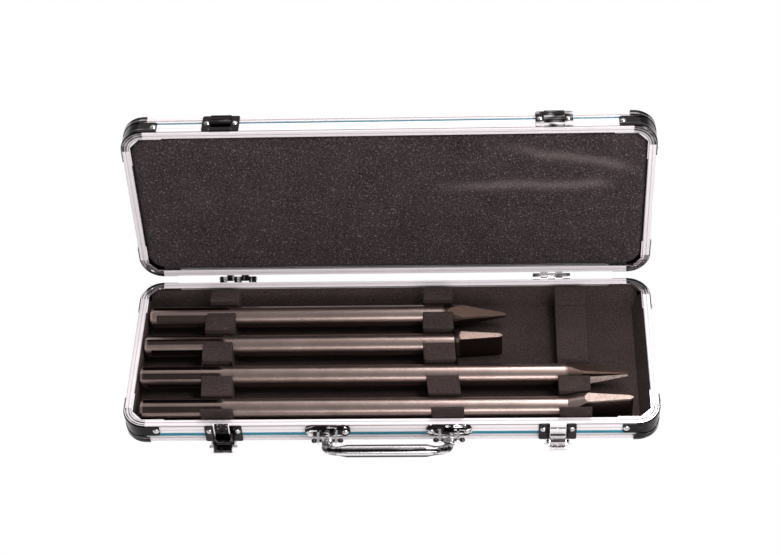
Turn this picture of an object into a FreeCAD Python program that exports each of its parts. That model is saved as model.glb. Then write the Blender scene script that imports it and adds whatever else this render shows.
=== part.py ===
import FreeCAD, Part
import os
import re
import Sketcher
from FreeCAD import Placement, Rotation, Vector

# A hinged aluminium carrying case that holds four hammer chisels with 18 mm slotted shanks.
# Millimetres. The origin is the centre of the base's underside: +X right, +Y to the hinges, +Z up.
# The lid is stored open, leaning back on the stop wings of its hinges.

SIZES = {
    # the two trays
    "case_length": 430.0,
    "case_width": 154.0,
    "base_depth": 20.5,
    "lid_depth": 20.5,
    "rim_gap": 0.3,
    "open_angle": 96.0,
    "hinge_setback": 3.5,
    "board_thickness": 3.0,
    "panel_thickness": 3.0,
    # the extruded rails
    "rail_wall": 1.0,
    "rim_width": 6.1,
    "rim_cap": 2.2,
    "rim_inner_leg": 7.5,
    "base_rim_rail": 9.4,
    "lid_rim_rail": 11.0,
    "base_edge_rail": 6.5,
    "lid_edge_rail": 7.0,
    "edge_lip_width": 7.0,
    "edge_lip": 1.2,
    "edge_groove_height": 4.4,
    "groove_width": 0.8,
    "groove_depth": 0.5,
    "edge_break": 0.6,
    # the corner castings and the pressed corner caps
    "corner_radius": 18.5,
    "corner_straight": 3.0,
    "corner_tongue": 0.8,
    "corner_tongue_length": 15.0,
    "cap_skin": 0.9,
    "cap_ear_reach": 30.0,
    "cap_foot_reach": 21.0,
    "cap_foot_height": 5.8,
    "cap_band_top": 1.2,
    "base_cap_band": 10.4,
    "lid_cap_band": 12.0,
    "cap_ear_rounding": 2.6,
    "cap_dish_depth": 0.5,
    "cap_dish_reach": 13.0,
    "cap_dish_rise": 4.4,
    "cap_dish_lift": 3.2,
    # domed rivets
    "rivet_radius": 2.6,
    "rivet_height": 1.3,
    "corner_rivet_inset": 27.0,
    # hinges
    "fitting_margin": 81.4,
    "hinge_length": 31.5,
    "knuckle_radius": 2.0,
    "knuckle_gap": 0.15,
    "hinge_pin_radius": 1.0,
    "leaf_thickness": 1.2,
    "leaf_foot": 2.5,
    "stop_wing": 6.5,
    "stop_gap_angle": 3.0,
    "stop_wing_start": 2.6,
    "wing_root_lap": 0.5,
    "wing_root_gap": 0.2,
    "leaf_drop": 4.0,
    "leaf_rivet_height": 8.5,
    "leaf_rivet_spacing": 20.0,
    # draw latches
    "latch_plate_width": 30.0,
    "latch_plate_bottom": 1.0,
    "latch_plate_drop": 0.3,
    "fitting_plate": 1.0,
    "plate_rounding": 1.8,
    "latch_rivet_spacing": 22.3,
    "latch_rivet_height": 13.5,
    "lever_pivot_out": 6.2,
    "lever_pivot_height": 5.5,
    "latch_throw": 3.0,
    "latch_pin_radius": 1.0,
    "latch_ear_gap": 14.6,
    "latch_ear_thickness": 1.1,
    "latch_eye_radius": 2.4,
    "ear_waist": 3.4,
    "ear_neck": 2.5,
    "lever_eye": 1.9,
    "lever_bump_radius": 1.4,
    "lever_web_gap": 11.8,
    "lever_web_thickness": 1.1,
    "lever_wing_gap": 17.6,
    "lever_wing_thickness": 1.2,
    "lever_tab_width": 22.4,
    "lever_tab_start": 2.8,
    "lever_tab_lap": 1.0,
    "lever_tab_end": 9.6,
    "lever_tab_thickness": 1.6,
    "lever_tab_rounding": 3.6,
    "lever_frame_width": 15.0,
    "lever_frame_height": 1.3,
    "lever_frame_setback": 0.6,
    "lever_slot_width": 10.0,
    "hook_width": 12.8,
    "hook_neck": 11.2,
    "hook_neck_height": 2.4,
    "hook_thickness": 1.2,
    "hook_claw": 1.9,
    "hook_dimple_radius": 1.3,
    "hook_dimple_drop": 4.5,
    "hook_barrel_radius": 1.6,
    "claw_thickness": 1.3,
    "catch_gap": 0.3,
    "running_fit": 0.05,
    # keepers on the lid
    "keeper_low": 1.0,
    "keeper_height": 19.3,
    "keeper_rivet_height": 11.0,
    "catch_bar_low": 0.5,
    "catch_bar_height": 2.3,
    "catch_bar_out": 1.3,
    "keeper_box_width": 16.5,
    "keeper_box_low": 7.6,
    "keeper_box_out": 2.1,
    "keeper_box_top_gap": 1.2,
    "keeper_ridge_depth": 0.6,
    # carrying handle
    "handle_centre": -1.2,
    "handle_span": 97.0,
    "handle_reach": 25.0,
    "handle_rise": 34.5,
    "handle_bend": 11.0,
    "handle_arm_radius": 3.6,
    "handle_grip_radius": 5.0,
    "handle_grip_length": 62.0,
    "handle_grip_taper": 8.0,
    "handle_grip_lap": 0.1,
    "handle_eye_radius": 4.2,
    "handle_eye_width": 8.4,
    "handle_pivot_out": 9.5,
    "handle_pivot_height": 11.5,
    "handle_pin_radius": 1.6,
    "handle_pin_ball": 2.3,
    "bracket_length": 36.5,
    "bracket_height": 12.0,
    "bracket_top_drop": 0.3,
    "bracket_thickness": 3.0,
    "bracket_break": 1.2,
    "bracket_rounding": 5.6,
    "bracket_rivet_spacing": 28.4,
    "lug_spacing": 14.5,
    "lug_thickness": 2.0,
    "lug_eye_radius": 3.2,
    # foam
    "floor_foam": 2.0,
    "foam_fit": 0.3,
    "liner_fit": 0.2,
    "liner_thickness": 3.1,
    "right_liner": 6.8,
    "floor_end_gap": 3.0,
    "front_liner": 1.4,
    "back_liner_top": 1.4,
    "back_liner_foot": 12.2,
    "rack_width": 25.5,
    "rack_web": 3.5,
    "rack_rise": 10.2,
    "rack_left_margin": 70.0,
    "rack_left_skew_back": 2.6,
    "rack_left_skew": 1.0,
    "rack_left_skew_front": 6.4,
    "rack_middle_margin": 178.0,
    "rack_middle_skew_back": 0.7,
    "rack_middle_skew": 1.5,
    "rack_middle_skew_front": 9.7,
    "rack_right_margin": 67.0,
    "rack_lip": 1.5,
    "spacer_top": 21.0,
    "spacer_back_height": 12.5,
    "spacer_step": 3.5,
    "spacer_step_inset": 32.0,
    "lid_foam_drop": 1.0,
    "lid_foam_rounding": 16.0,
    "front_block_rise": 2.5,
    "rack_end_margin": 17.7,
    "rack_back_lean": 8.5,
    # chisels
    "shank_diameter": 18.0,
    "short_point_spare": 132.0,
    "short_flat_spare": 134.0,
    "long_point_spare": 32.5,
    "long_flat_spare": 34.5,
    "short_point_gap": 2.8,
    "short_flat_gap": 1.6,
    "long_point_gap": 1.4,
    "long_flat_gap": 5.2,
    "slot_back_margin": 37.6,
    "slot_front_margin": 18.2,
    "middle_slot_shift": 1.2,
    "shank_chamfer": 2.0,
    "keyway_width": 5.0,
    "keyway_depth": 2.2,
    "keyway_length": 69.0,
    "keyway_runout": 9.0,
    "keyway_end_rise": 0.2,
    "cut_over": 1.0,
    "lock_groove_width": 6.0,
    "lock_groove_depth": 2.3,
    "lock_groove_start": 6.5,
    "lock_groove_end": 58.0,
    "keyway_splay": 65.0,
    "point_length": 48.0,
    "point_shoulder": 12.0,
    "point_tip": 3.0,
    "point_tip_corner": 1.9,
    "blade_length": 35.0,
    "short_blade_height": 22.5,
    "short_blade_neck": 4.5,
    "long_blade_height": 25.0,
    "long_blade_neck": 17.0,
    "blade_flare": 4.0,
    "blade_root": 8.8,
    "blade_end": 3.8,
    "blade_bevel": 2.5,
    "blade_edge": 0.8,
    "short_point_roll": 12.6,
    "short_point_turn": -55.6,
    "long_point_roll": -14.3,
    "long_point_turn": 24.3,
    "short_flat_turn": -11.0,
    "long_flat_turn": 12.0,
}

# Sizes and places that follow from those above.
PLACES = {
    "half_length": "case_length / 2",
    "half_width": "case_width / 2",
    "board_face": "rail_wall + board_thickness",
    "hinge_offset": "half_length - fitting_margin",
    "latch_offset": "half_length - fitting_margin",
    "hinge_y": "half_width + hinge_setback",
    "hinge_z": "base_depth + rim_gap / 2",
    "lid_y": "hinge_y * (1 - cos(open_angle)) + (lid_depth + rim_gap / 2) * sin(open_angle)",
    "lid_z": "hinge_z + hinge_y * sin(open_angle) + (lid_depth + rim_gap / 2) * cos(open_angle)",
    "rivet_ball": "(rivet_radius ^ 2 + rivet_height ^ 2) / (2 * rivet_height)",
    "rivet_sink": "rivet_ball - rivet_height",
    "floor_top": "panel_thickness + floor_foam",
    "shank_radius": "shank_diameter / 2",
    "slot_radius": "shank_radius + foam_fit",
    "chisel_z": "floor_top + rack_web + slot_radius",
    "rack_top": "chisel_z + rack_rise",
    "liner_back": "rail_wall + board_face + liner_fit",
    "liner_face": "liner_back + liner_thickness",
    "liner_top": "base_depth - rim_cap - liner_fit",
    "front_face": "liner_back + front_liner",
    "rack_left": "rack_left_margin - half_length",
    "rack_middle": "half_length - rack_middle_margin",
    "rack_right": "half_length - rack_right_margin",
    "slot_pitch": "(case_width - slot_back_margin - slot_front_margin) / 3",
    "slot_1": "half_width - slot_back_margin",
    "slot_2": "slot_1 - slot_pitch + middle_slot_shift",
    "slot_3": "slot_1 - 2 * slot_pitch + middle_slot_shift",
    "slot_4": "slot_1 - 3 * slot_pitch",
    "lid_foam_inset": "rim_width + corner_tongue + foam_fit",
    "handle_pivot_y": "-half_width - handle_pivot_out",
    "lever_y": "-half_width - lever_pivot_out",
    "hook_z": "lever_pivot_height + latch_throw",
    "catch_top": "base_depth + rim_gap + catch_bar_low + catch_bar_height",
    "claw_z": "catch_top + catch_gap + latch_throw",
    "latch_plate_top": "base_depth - latch_plate_drop",
    "keeper_box_foot": "lid_depth - keeper_low - keeper_height + keeper_box_top_gap",
    "keeper_box_top": "lid_depth - keeper_box_low",
    "bracket_z": "base_depth - bracket_top_drop - bracket_height / 2",
}

document = FreeCAD.newDocument("chisel_case")
sheet = document.addObject("Spreadsheet::Sheet", "Sizes")
for row, (alias, size) in enumerate(SIZES.items(), start=1):
    sheet.set(f"A{row}", alias)
    sheet.set(f"B{row}", str(size))
    sheet.setAlias(f"B{row}", alias)
document.recompute()
places = document.addObject("App::VarSet", "Places")


def bound(text):
    """The expression with each size and place led back to the sheet or to the set of places."""

    def owner(match):
        word = match.group(0)
        if word in SIZES:
            return f"Sizes.{word}"
        return f"Places.{word}" if word in PLACES else word

    return re.sub(r"[a-z_][a-z_0-9]*", owner, text)


def number(text):
    """The present value of an expression."""
    return float(sheet.evalExpression(bound(text)))


def bind(thing, **expressions):
    """Bind properties of a thing to expressions."""
    for name, text in expressions.items():
        thing.setExpression(name, bound(text))


for name, text in PLACES.items():
    places.addProperty("App::PropertyFloat", name)
    places.setExpression(name, bound(text).replace("Places.", ""))
document.recompute()

nodes = []


def node(thing, label):
    """Name a finished sub-part and list it for export."""
    thing.Label = label
    nodes.append(thing)
    return thing


def seat(thing, x="0", y="0", z="0", turn=None):
    """Put a thing's own origin at bound coordinates, turned once about its origin."""
    thing.Placement = Placement(Vector(0, 0, 0), turn or Rotation())
    for axis, text in zip("xyz", (x, y, z)):
        thing.setExpression(f"Placement.Base.{axis}", bound(text))
    return thing


def on_lid(thing):
    """Carry a thing made in the lid's own frame, skin at z = 0 and rim up, to the open lid."""
    seat(thing, y="lid_y", z="lid_z", turn=Rotation(Vector(1, 0, 0), 180 - number("open_angle")))
    thing.setExpression("Placement.Rotation.Angle", bound("180 - open_angle"))
    return thing


def new_body(name):
    return document.addObject("PartDesign::Body", name)


def new_sketch(body, plane, lift="0", tilt=None):
    """An empty sketch on one of the body's origin planes, lifted along its normal."""
    sketch = body.newObject("Sketcher::SketchObject", f"{body.Name}_sketch")
    origin_plane = next(p for p in body.Origin.OriginFeatures if p.Role == plane)
    sketch.AttachmentSupport = (origin_plane, [""])
    sketch.MapMode = "FlatFace"
    if tilt:
        sketch.AttachmentOffset = tilt
    else:
        sketch.setExpression("AttachmentOffset.Base.z", bound(lift))
    return sketch


def draw_loop(sketch, corners, closed=True):
    """Draw straight sides and arcs through corners bound to expressions.

    A corner is (across, up), or (across, up, (centre across, centre up)) where the side that
    leaves it is an arc of less than half a circle about that centre.
    """
    points = [Vector(number(corner[0]), number(corner[1]), 0) for corner in corners]
    count = len(corners)
    ends = {}
    after_arc = set()
    for i in range(count if closed else count - 1):
        start, end = points[i], points[(i + 1) % count]
        geometry = sketch.GeometryCount
        if len(corners[i]) == 2:
            sketch.addGeometry(Part.LineSegment(start, end))
            ends[i] = (geometry, 1, 2)
            continue
        centre = Vector(number(corners[i][2][0]), number(corners[i][2][1]), 0)
        spin = (start - centre).cross(end - centre).z
        near, far = (start, end) if spin > 0 else (end, start)
        circle = Part.Circle(centre, Vector(0, 0, 1), (start - centre).Length)
        sketch.addGeometry(Part.ArcOfCircle(circle, circle.parameter(near), circle.parameter(far)))
        ends[i] = (geometry, 1, 2) if spin > 0 else (geometry, 2, 1)
        pin_point(sketch, geometry, 3, corners[i][2])
        after_arc.add((i + 1) % count)
    for i in range(count):
        arriving, leaving = ends.get((i - 1) % count), ends.get(i)
        if arriving and leaving:
            sketch.addConstraint(
                Sketcher.Constraint("Coincident", arriving[0], arriving[2], leaving[0], leaving[1])
            )
        geometry, point = (leaving[0], leaving[1]) if leaving else (arriving[0], arriving[2])
        axes = ("DistanceX", "DistanceY")
        if i in after_arc:
            arc = corners[(i - 1) % count][2]
            run = points[i] - Vector(number(arc[0]), number(arc[1]), 0)
            axes = ("DistanceX",) if abs(run.y) > abs(run.x) else ("DistanceY",)
        pin_point(sketch, geometry, point, corners[i], axes)


def pin_point(sketch, geometry, point, where, axes=("DistanceX", "DistanceY")):
    """Hold one point of a sketch at bound distances from its origin."""
    for axis, text in zip(("DistanceX", "DistanceY"), where):
        if axis in axes:
            index = sketch.addConstraint(
                Sketcher.Constraint(axis, -1, 1, geometry, point, number(text))
            )
            sketch.setExpression(f"Constraints[{index}]", bound(text))


def draw_circle(sketch, across, up, radius):
    """Draw a circle with its centre and radius bound to expressions."""
    index = sketch.addGeometry(
        Part.Circle(Vector(number(across), number(up), 0), Vector(0, 0, 1), number(radius))
    )
    pin_point(sketch, index, 3, (across, up))
    constraint = sketch.addConstraint(Sketcher.Constraint("Radius", index, number(radius)))
    sketch.setExpression(f"Constraints[{constraint}]", bound(radius))


def rounded(left, right, low, high, radius):
    """Corners of a rectangle whose four corners are rounded."""
    return [
        (f"{left} + {radius}", low),
        (f"{right} - {radius}", low, (f"{right} - {radius}", f"{low} + {radius}")),
        (right, f"{low} + {radius}"),
        (right, f"{high} - {radius}", (f"{right} - {radius}", f"{high} - {radius}")),
        (f"{right} - {radius}", high),
        (f"{left} + {radius}", high, (f"{left} + {radius}", f"{high} - {radius}")),
        (left, f"{high} - {radius}"),
        (left, f"{low} + {radius}", (f"{left} + {radius}", f"{low} + {radius}")),
    ]


def feature(body, kind, sketch, length, midplane=False, reverse=False):
    """A pad or pocket of a sketch, its length bound to an expression."""
    made = body.newObject(f"PartDesign::{kind}", f"{body.Name}_{kind}")
    made.Profile = sketch
    made.Midplane = midplane
    made.Reversed = reverse
    if length == "all":
        made.Type = 1
    else:
        bind(made, Length=length)
    return made


def pad(body, plane, corners, length, lift="0", midplane=False, reverse=False):
    """Extrude one outline from a lifted origin plane."""
    sketch = new_sketch(body, plane, lift)
    draw_loop(sketch, corners)
    return feature(body, "Pad", sketch, length, midplane, reverse)


def pad_disc(body, plane, across, up, radius, length, lift="0", midplane=False):
    """Extrude a circle from a lifted origin plane."""
    sketch = new_sketch(body, plane, lift)
    draw_circle(sketch, across, up, radius)
    return feature(body, "Pad", sketch, length, midplane)


def bore(body, plane, across, up, radius, length, lift="0"):
    """Cut a round hole both ways from a lifted origin plane."""
    sketch = new_sketch(body, plane, lift)
    draw_circle(sketch, across, up, radius)
    return feature(body, "Pocket", sketch, length, midplane=True)


def mirror(source, normal):
    copy = document.addObject("Part::Mirroring", f"{source.Name}_mirror")
    copy.Source = source
    copy.Normal = normal
    return copy


def group(name, members):
    compound = document.addObject("Part::Compound", name)
    compound.Links = members
    return compound


def at_four_corners(name, source):
    """The source and its mirror images at the other three corners of the case."""
    pair = group(f"{name}_pair", [source, mirror(source, Vector(1, 0, 0))])
    return group(name, [pair, mirror(pair, Vector(0, 1, 0))])


# ---------------------------------------------------------------- trays


def side_plan(sign, inset):
    """Coordinate of a line that lies inset from the outer face of a wall on one side."""
    return f"{sign}(half_width - ({inset}))"


def end_plan(sign, inset):
    return f"{sign}(half_length - ({inset}))"


def rim_rail_profile(tray, across):
    """Capped channel that grips the top of a board: outer leg, grooved cap, inner leg."""
    top = f"{tray}_depth"
    under = f"{top} - rim_cap"
    return [
        (across("0"), f"{top} - {tray}_rim_rail"),
        (across("rail_wall"), f"{top} - {tray}_rim_rail"),
        (across("rail_wall"), under),
        (across("board_face"), under),
        (across("board_face"), f"{top} - rim_inner_leg"),
        (across("board_face + rail_wall"), f"{top} - rim_inner_leg"),
        (across("board_face + rail_wall"), under),
        (across("rim_width"), under),
        (across("rim_width"), f"{top} - edge_break"),
        (across("rim_width - edge_break"), top),
        (across("(rim_width + groove_width) / 2"), top),
        (across("(rim_width + groove_width) / 2"), f"{top} - groove_depth"),
        (across("(rim_width - groove_width) / 2"), f"{top} - groove_depth"),
        (across("(rim_width - groove_width) / 2"), top),
        (across("edge_break"), top),
        (across("0"), f"{top} - edge_break"),
    ]


def edge_rail_profile(tray, across):
    """Angle that wraps the foot of a board and the rebated edge of the panel."""
    return [
        (across("0"), f"{tray}_edge_rail"),
        (across("0"), "edge_groove_height + groove_width / 2"),
        (across("groove_depth"), "edge_groove_height + groove_width / 2"),
        (across("groove_depth"), "edge_groove_height - groove_width / 2"),
        (across("0"), "edge_groove_height - groove_width / 2"),
        (across("0"), "edge_break"),
        (across("edge_break"), "0"),
        (across("edge_lip_width"), "0"),
        (across("edge_lip_width"), "edge_lip"),
        (across("rail_wall"), "edge_lip"),
        (across("rail_wall"), f"{tray}_edge_rail"),
    ]


def board_profile(tray, across):
    top = f"{tray}_depth - rim_cap"
    return [
        (across("rail_wall"), "panel_thickness"),
        (across("board_face"), "panel_thickness"),
        (across("board_face"), top),
        (across("rail_wall"), top),
    ]


def walls(tray, finish, signs):
    """Boards and rails on the four sides. The signs say on which side of the tray's own frame each
    wall lies."""
    for side, sign in signs.items():
        along_x = side in ("front", "back")
        plane = "YZ_Plane" if along_x else "XZ_Plane"
        length = f"case_{'length' if along_x else 'width'} - 2 * corner_radius"
        plan = side_plan if along_x else end_plan

        def across(inset):
            return plan(sign, inset)

        for label, profile in (
            (f"{tray}_{side}_board", board_profile(tray, across)),
            (f"{tray}_{side}_rim", rim_rail_profile(tray, across)),
            (f"{tray}_{side}_edge", edge_rail_profile(tray, across)),
        ):
            body = new_body(label)
            pad(body, plane, profile, length, midplane=True)
            if not label.endswith("_board") or along_x:
                node(finish(body), label)
            else:
                end_boards[tray].append(body)
    node(finish(group(f"{tray}_end_boards", end_boards[tray])), f"{tray}_end_boards")


end_boards = {"base": [], "lid": []}


def panel(label, finish):
    """Outer skin panel, rebated all round so that the rails' lips lie flush with it."""
    body = new_body(label)
    for inset, height in (("edge_lip_width", "0"), ("rail_wall", "edge_lip")):
        outline = rounded(
            f"-(half_length - {inset})",
            f"(half_length - {inset})",
            f"-(half_width - {inset})",
            f"(half_width - {inset})",
            f"(corner_radius - {inset})",
        )
        pad(body, "XY_Plane", outline, f"panel_thickness - {height}", lift=height)
    node(finish(body), label)


# the rear left corner, turned so that both coordinates grow into the case
ARC_X = "corner_radius - half_length"
ARC_Y = "corner_radius - half_width"


def quarter_ring(outer, inner):
    """Quarter ring about the corner's centre, between two insets from the outer faces."""
    return [
        (ARC_X, f"{outer} - half_width"),
        (ARC_X, f"{inner} - half_width", (ARC_X, ARC_Y)),
        (f"{inner} - half_length", ARC_Y),
        (f"{outer} - half_length", ARC_Y, (ARC_X, ARC_Y)),
    ]


def rim_corners(tray, finish):
    """Castings that join the rim rails: a plate with a straight inner edge, an arc groove that
    carries on the rails' groove, a skirt behind the cap, and the corner wall."""
    body = new_body(f"{tray}_rim_corner")
    top = f"{tray}_depth"
    plate = [
        (ARC_X, "rim_width - half_width"),
        ("corner_radius - corner_straight - half_length", "rim_width - half_width"),
        ("rim_width - half_length", "corner_radius - corner_straight - half_width"),
        ("rim_width - half_length", ARC_Y),
        ("-half_length", ARC_Y, (ARC_X, ARC_Y)),
        (ARC_X, "-half_width"),
    ]
    pad(body, "XY_Plane", plate, "rim_cap", lift=f"{top} - rim_cap")
    pad(
        body,
        "XY_Plane",
        quarter_ring("0", "rail_wall"),
        f"{tray}_rim_rail - rim_cap",
        lift=f"{top} - {tray}_rim_rail",
    )
    pad(
        body,
        "XY_Plane",
        quarter_ring("rail_wall", "board_face"),
        f"{top} - rim_cap - panel_thickness",
        lift="panel_thickness",
    )
    near, far = "corner_radius - 1.5 * corner_straight", "corner_radius + corner_tongue_length"
    lip = ("rim_width", "rim_width + corner_tongue")
    for (left, right), (front, back) in (((near, far), lip), (lip, (near, far))):
        tongue = [
            (f"{left} - half_length", f"{front} - half_width"),
            (f"{right} - half_length", f"{front} - half_width"),
            (f"{right} - half_length", f"{back} - half_width"),
            (f"{left} - half_length", f"{back} - half_width"),
        ]
        pad(body, "XY_Plane", tongue, "rim_cap - edge_break", lift=f"{top} - rim_cap")
    groove = new_sketch(body, "XY_Plane", top)
    draw_loop(
        groove, quarter_ring("(rim_width - groove_width) / 2", "(rim_width + groove_width) / 2")
    )
    feature(body, "Pocket", groove, "groove_depth")
    node(finish(at_four_corners(f"{tray}_rim_corners", body)), f"{tray}_rim_corners")


def corner_caps(tray, finish):
    """Pressed caps round the outer corners: a band with two riveted ears above, a foot band below,
    a lip under the panel, and a lens-shaped recess that narrows both bands at the corner."""
    body = new_body(f"{tray}_corner_cap")
    band_top = f"{tray}_depth - cap_band_top"
    band_low = f"{band_top} - {tray}_cap_band"
    pad(body, "XY_Plane", quarter_ring("-cap_skin", "cap_dish_depth - cap_skin"), band_top)
    facing = Placement(Vector(number(ARC_X), 0, -number(ARC_Y)), Rotation(Vector(0, 1, 0), -45))
    dish = new_sketch(body, "XZ_Plane", tilt=facing)
    bind(dish, **{"AttachmentOffset.Base.x": ARC_X, "AttachmentOffset.Base.z": f"-({ARC_Y})"})
    middle = "cap_foot_height + cap_dish_lift"
    lens = []
    for sign, steps in (("-", range(-4, 4)), ("+", range(4, -4, -1))):
        for step in steps:
            share = step / 4
            rise = f"{middle} {sign} {1 - share**2} * cap_dish_rise"
            lens.append((f"{share} * cap_dish_reach", rise))
    draw_loop(dish, lens)
    feature(body, "Pocket", dish, "4 * corner_radius", midplane=True)
    pad(body, "XY_Plane", quarter_ring("cap_dish_depth - cap_skin", "0"), band_top)
    pad(body, "XY_Plane", quarter_ring("0", "rail_wall"), "cap_foot_height")
    pad(body, "XY_Plane", quarter_ring("0", "edge_lip_width"), "edge_lip")
    for plane, half, other in (
        ("XZ_Plane", "half_length", "half_width"),
        ("YZ_Plane", "half_width", "half_length"),
    ):
        start = f"corner_radius - {half}"
        ear_end = f"cap_ear_reach - {half}"
        foot_end = f"cap_foot_reach - {half}"
        turn = (f"{ear_end} - cap_ear_rounding", f"{band_low} + cap_ear_rounding")
        ear = [
            (start, band_low),
            (turn[0], band_low, turn),
            (ear_end, turn[1]),
            (ear_end, band_top),
            (start, band_top),
        ]
        foot = [(start, "0"), (foot_end, "0"), (foot_end, "cap_foot_height"), (start, "cap_foot_height")]
        for outline in (ear, foot):
            if plane == "XZ_Plane":
                pad(body, plane, outline, "cap_skin", lift=other)
            else:
                pad(body, plane, outline, "cap_skin", lift=f"-{other}", reverse=True)
    node(finish(at_four_corners(f"{tray}_corner_caps", body)), f"{tray}_corner_caps")


def rivets(label, finish, seats):
    """Domed rivet heads: one spherical cap per seat, each seat (x, y, z, outward direction)."""
    outward = {
        "-y": (Rotation(Vector(0, 0, 1), Vector(0, -1, 0)), "y", "+"),
        "+y": (Rotation(Vector(0, 0, 1), Vector(0, 1, 0)), "y", "-"),
        "-x": (Rotation(Vector(0, 0, 1), Vector(-1, 0, 0)), "x", "+"),
        "+x": (Rotation(Vector(0, 0, 1), Vector(1, 0, 0)), "x", "-"),
    }
    heads = []
    for x, y, z, direction in seats:
        turn, axis, sign = outward[direction]
        head = document.addObject("Part::Sphere", f"{label}_head")
        bind(head, Radius="rivet_ball", Angle1="asin(rivet_sink / rivet_ball)")
        if axis == "x":
            x = f"{x} {sign} rivet_sink"
        else:
            y = f"{y} {sign} rivet_sink"
        heads.append(seat(head, x, y, z, turn))
    node(finish(group(label, heads)), label)


def corner_rivet_seats(tray):
    """One seat in each ear of the four caps."""
    height = f"{tray}_depth - cap_band_top - {tray}_cap_band / 2"
    seats = []
    for sign in ("-", ""):
        for other in ("-", ""):
            long_side = "-y" if other else "+y"
            seats.append(
                (
                    f"{sign}(half_length - corner_rivet_inset)",
                    f"{other}(half_width + cap_skin)",
                    height,
                    long_side,
                )
            )
            end = "-x" if sign else "+x"
            seats.append(
                (
                    f"{sign}(half_length + cap_skin)",
                    f"{other}(half_width - corner_rivet_inset)",
                    height,
                    end,
                )
            )
    return seats


def stay(thing):
    """Things of the base are made where they are."""
    return thing


panel("base_panel", stay)
walls("base", stay, {"front": "-", "back": "", "left": "-", "right": ""})
rim_corners("base", stay)
corner_caps("base", stay)
rivets("base_corner_rivets", stay, corner_rivet_seats("base"))
panel("lid_panel", on_lid)
walls("lid", on_lid, {"front": "", "back": "-", "left": "-", "right": ""})
rim_corners("lid", on_lid)
corner_caps("lid", on_lid)

# ---------------------------------------------------------------- hinges

SIDES = {"left": "-", "right": ""}


def hinge_leaf(tray, side, knuckles, finish):
    """Leaf plate, its share of the five knuckles, and a stop wing that radiates from the pin."""
    outward = "" if tray == "base" else "-"
    height = f"({tray}_depth + rim_gap / 2)"
    centre = f"{SIDES[side]}hinge_offset"
    wing = "((open_angle + stop_gap_angle) / 2)"

    def at(out, up):
        return (f"{outward}(half_width + {out})", f"{height} + {up}")

    def on_ray(radius, depth="0"):
        return at(
            f"hinge_setback + ({radius}) * cos{wing} - {depth} * sin{wing}",
            f"(-({radius}) * sin{wing} - {depth} * cos{wing})",
        )

    body = new_body(f"hinge_{side}_{tray}_leaf")
    plate = [
        (f"{outward}half_width", "leaf_foot"),
        at("leaf_thickness", "leaf_foot - " + height),
        at("leaf_thickness", "(-leaf_drop)"),
        at("0", "(-leaf_drop)"),
    ]
    pad(body, "YZ_Plane", plate, "hinge_length", lift=centre, midplane=True)
    stop = [
        on_ray("stop_wing_start"),
        on_ray("stop_wing"),
        on_ray("stop_wing", "leaf_thickness"),
        on_ray("stop_wing_start", "leaf_thickness"),
    ]
    pad(body, "YZ_Plane", stop, "hinge_length", lift=centre, midplane=True)
    for place in knuckles:
        middle = f"{centre} + ({place}) * hinge_length / 5"
        neck = [
            at("leaf_thickness", "(-leaf_drop)"),
            at("hinge_setback", "(-knuckle_radius)"),
            at("hinge_setback - knuckle_radius", "0"),
            at("0", "(-knuckle_radius)"),
            at("0", "(-leaf_drop)"),
        ]
        length = "hinge_length / 5 - knuckle_gap"
        pad(body, "YZ_Plane", neck, length, lift=middle, midplane=True)
        root = [
            on_ray("0", "wing_root_gap"),
            on_ray("stop_wing_start + wing_root_lap", "wing_root_gap"),
            on_ray("stop_wing_start + wing_root_lap", "leaf_thickness"),
            on_ray("0", "leaf_thickness"),
        ]
        pad(body, "YZ_Plane", root, length, lift=middle, midplane=True)
        across, up = at("hinge_setback", "0")
        pad_disc(body, "YZ_Plane", across, up, "knuckle_radius", length, middle, midplane=True)
    across, up = at("hinge_setback", "0")
    bore(body, "YZ_Plane", across, up, "hinge_pin_radius + running_fit", "hinge_length", centre)
    node(finish(body), body.Name)


def round_pins(label, pins):
    """A group of plain pins along X: one (x, y, z, radius, length, ball radius) per pin."""
    made = []
    for x, y, z, radius, length, ball in pins:
        pin = document.addObject("Part::Cylinder", f"{label}_pin")
        bind(pin, Radius=radius, Height=length)
        turn = Rotation(Vector(0, 1, 0), 90)
        seat(pin, f"{x} - ({length}) / 2", y, z, turn)
        if ball:
            ends = [pin]
            for sign in ("-", "+"):
                knob = document.addObject("Part::Sphere", f"{label}_knob")
                bind(knob, Radius=ball)
                ends.append(seat(knob, f"{x} {sign} ({length}) / 2", y, z))
            pin = document.addObject("Part::MultiFuse", f"{label}_balled_pin")
            pin.Shapes = ends
        made.append(pin)
    node(group(label, made), label)


for side in SIDES:
    hinge_leaf("base", side, ("-2", "0", "2"), stay)
    hinge_leaf("lid", side, ("-1", "1"), on_lid)
round_pins(
    "hinge_pins",
    [
        (f"{sign}hinge_offset", "hinge_y", "hinge_z", "hinge_pin_radius", "hinge_length", "")
        for sign in SIDES.values()
    ],
)

# ---------------------------------------------------------------- latches


def front_view(body, corners, low_out, thickness, tray="base"):
    """Pad an outline drawn on the front face, from low_out outward."""
    if tray == "base":
        return pad(body, "XZ_Plane", corners, thickness, lift=f"half_width + {low_out}")
    lift = f"-(half_width + {low_out})"
    return pad(body, "XZ_Plane", corners, thickness, lift=lift, reverse=True)


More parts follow.
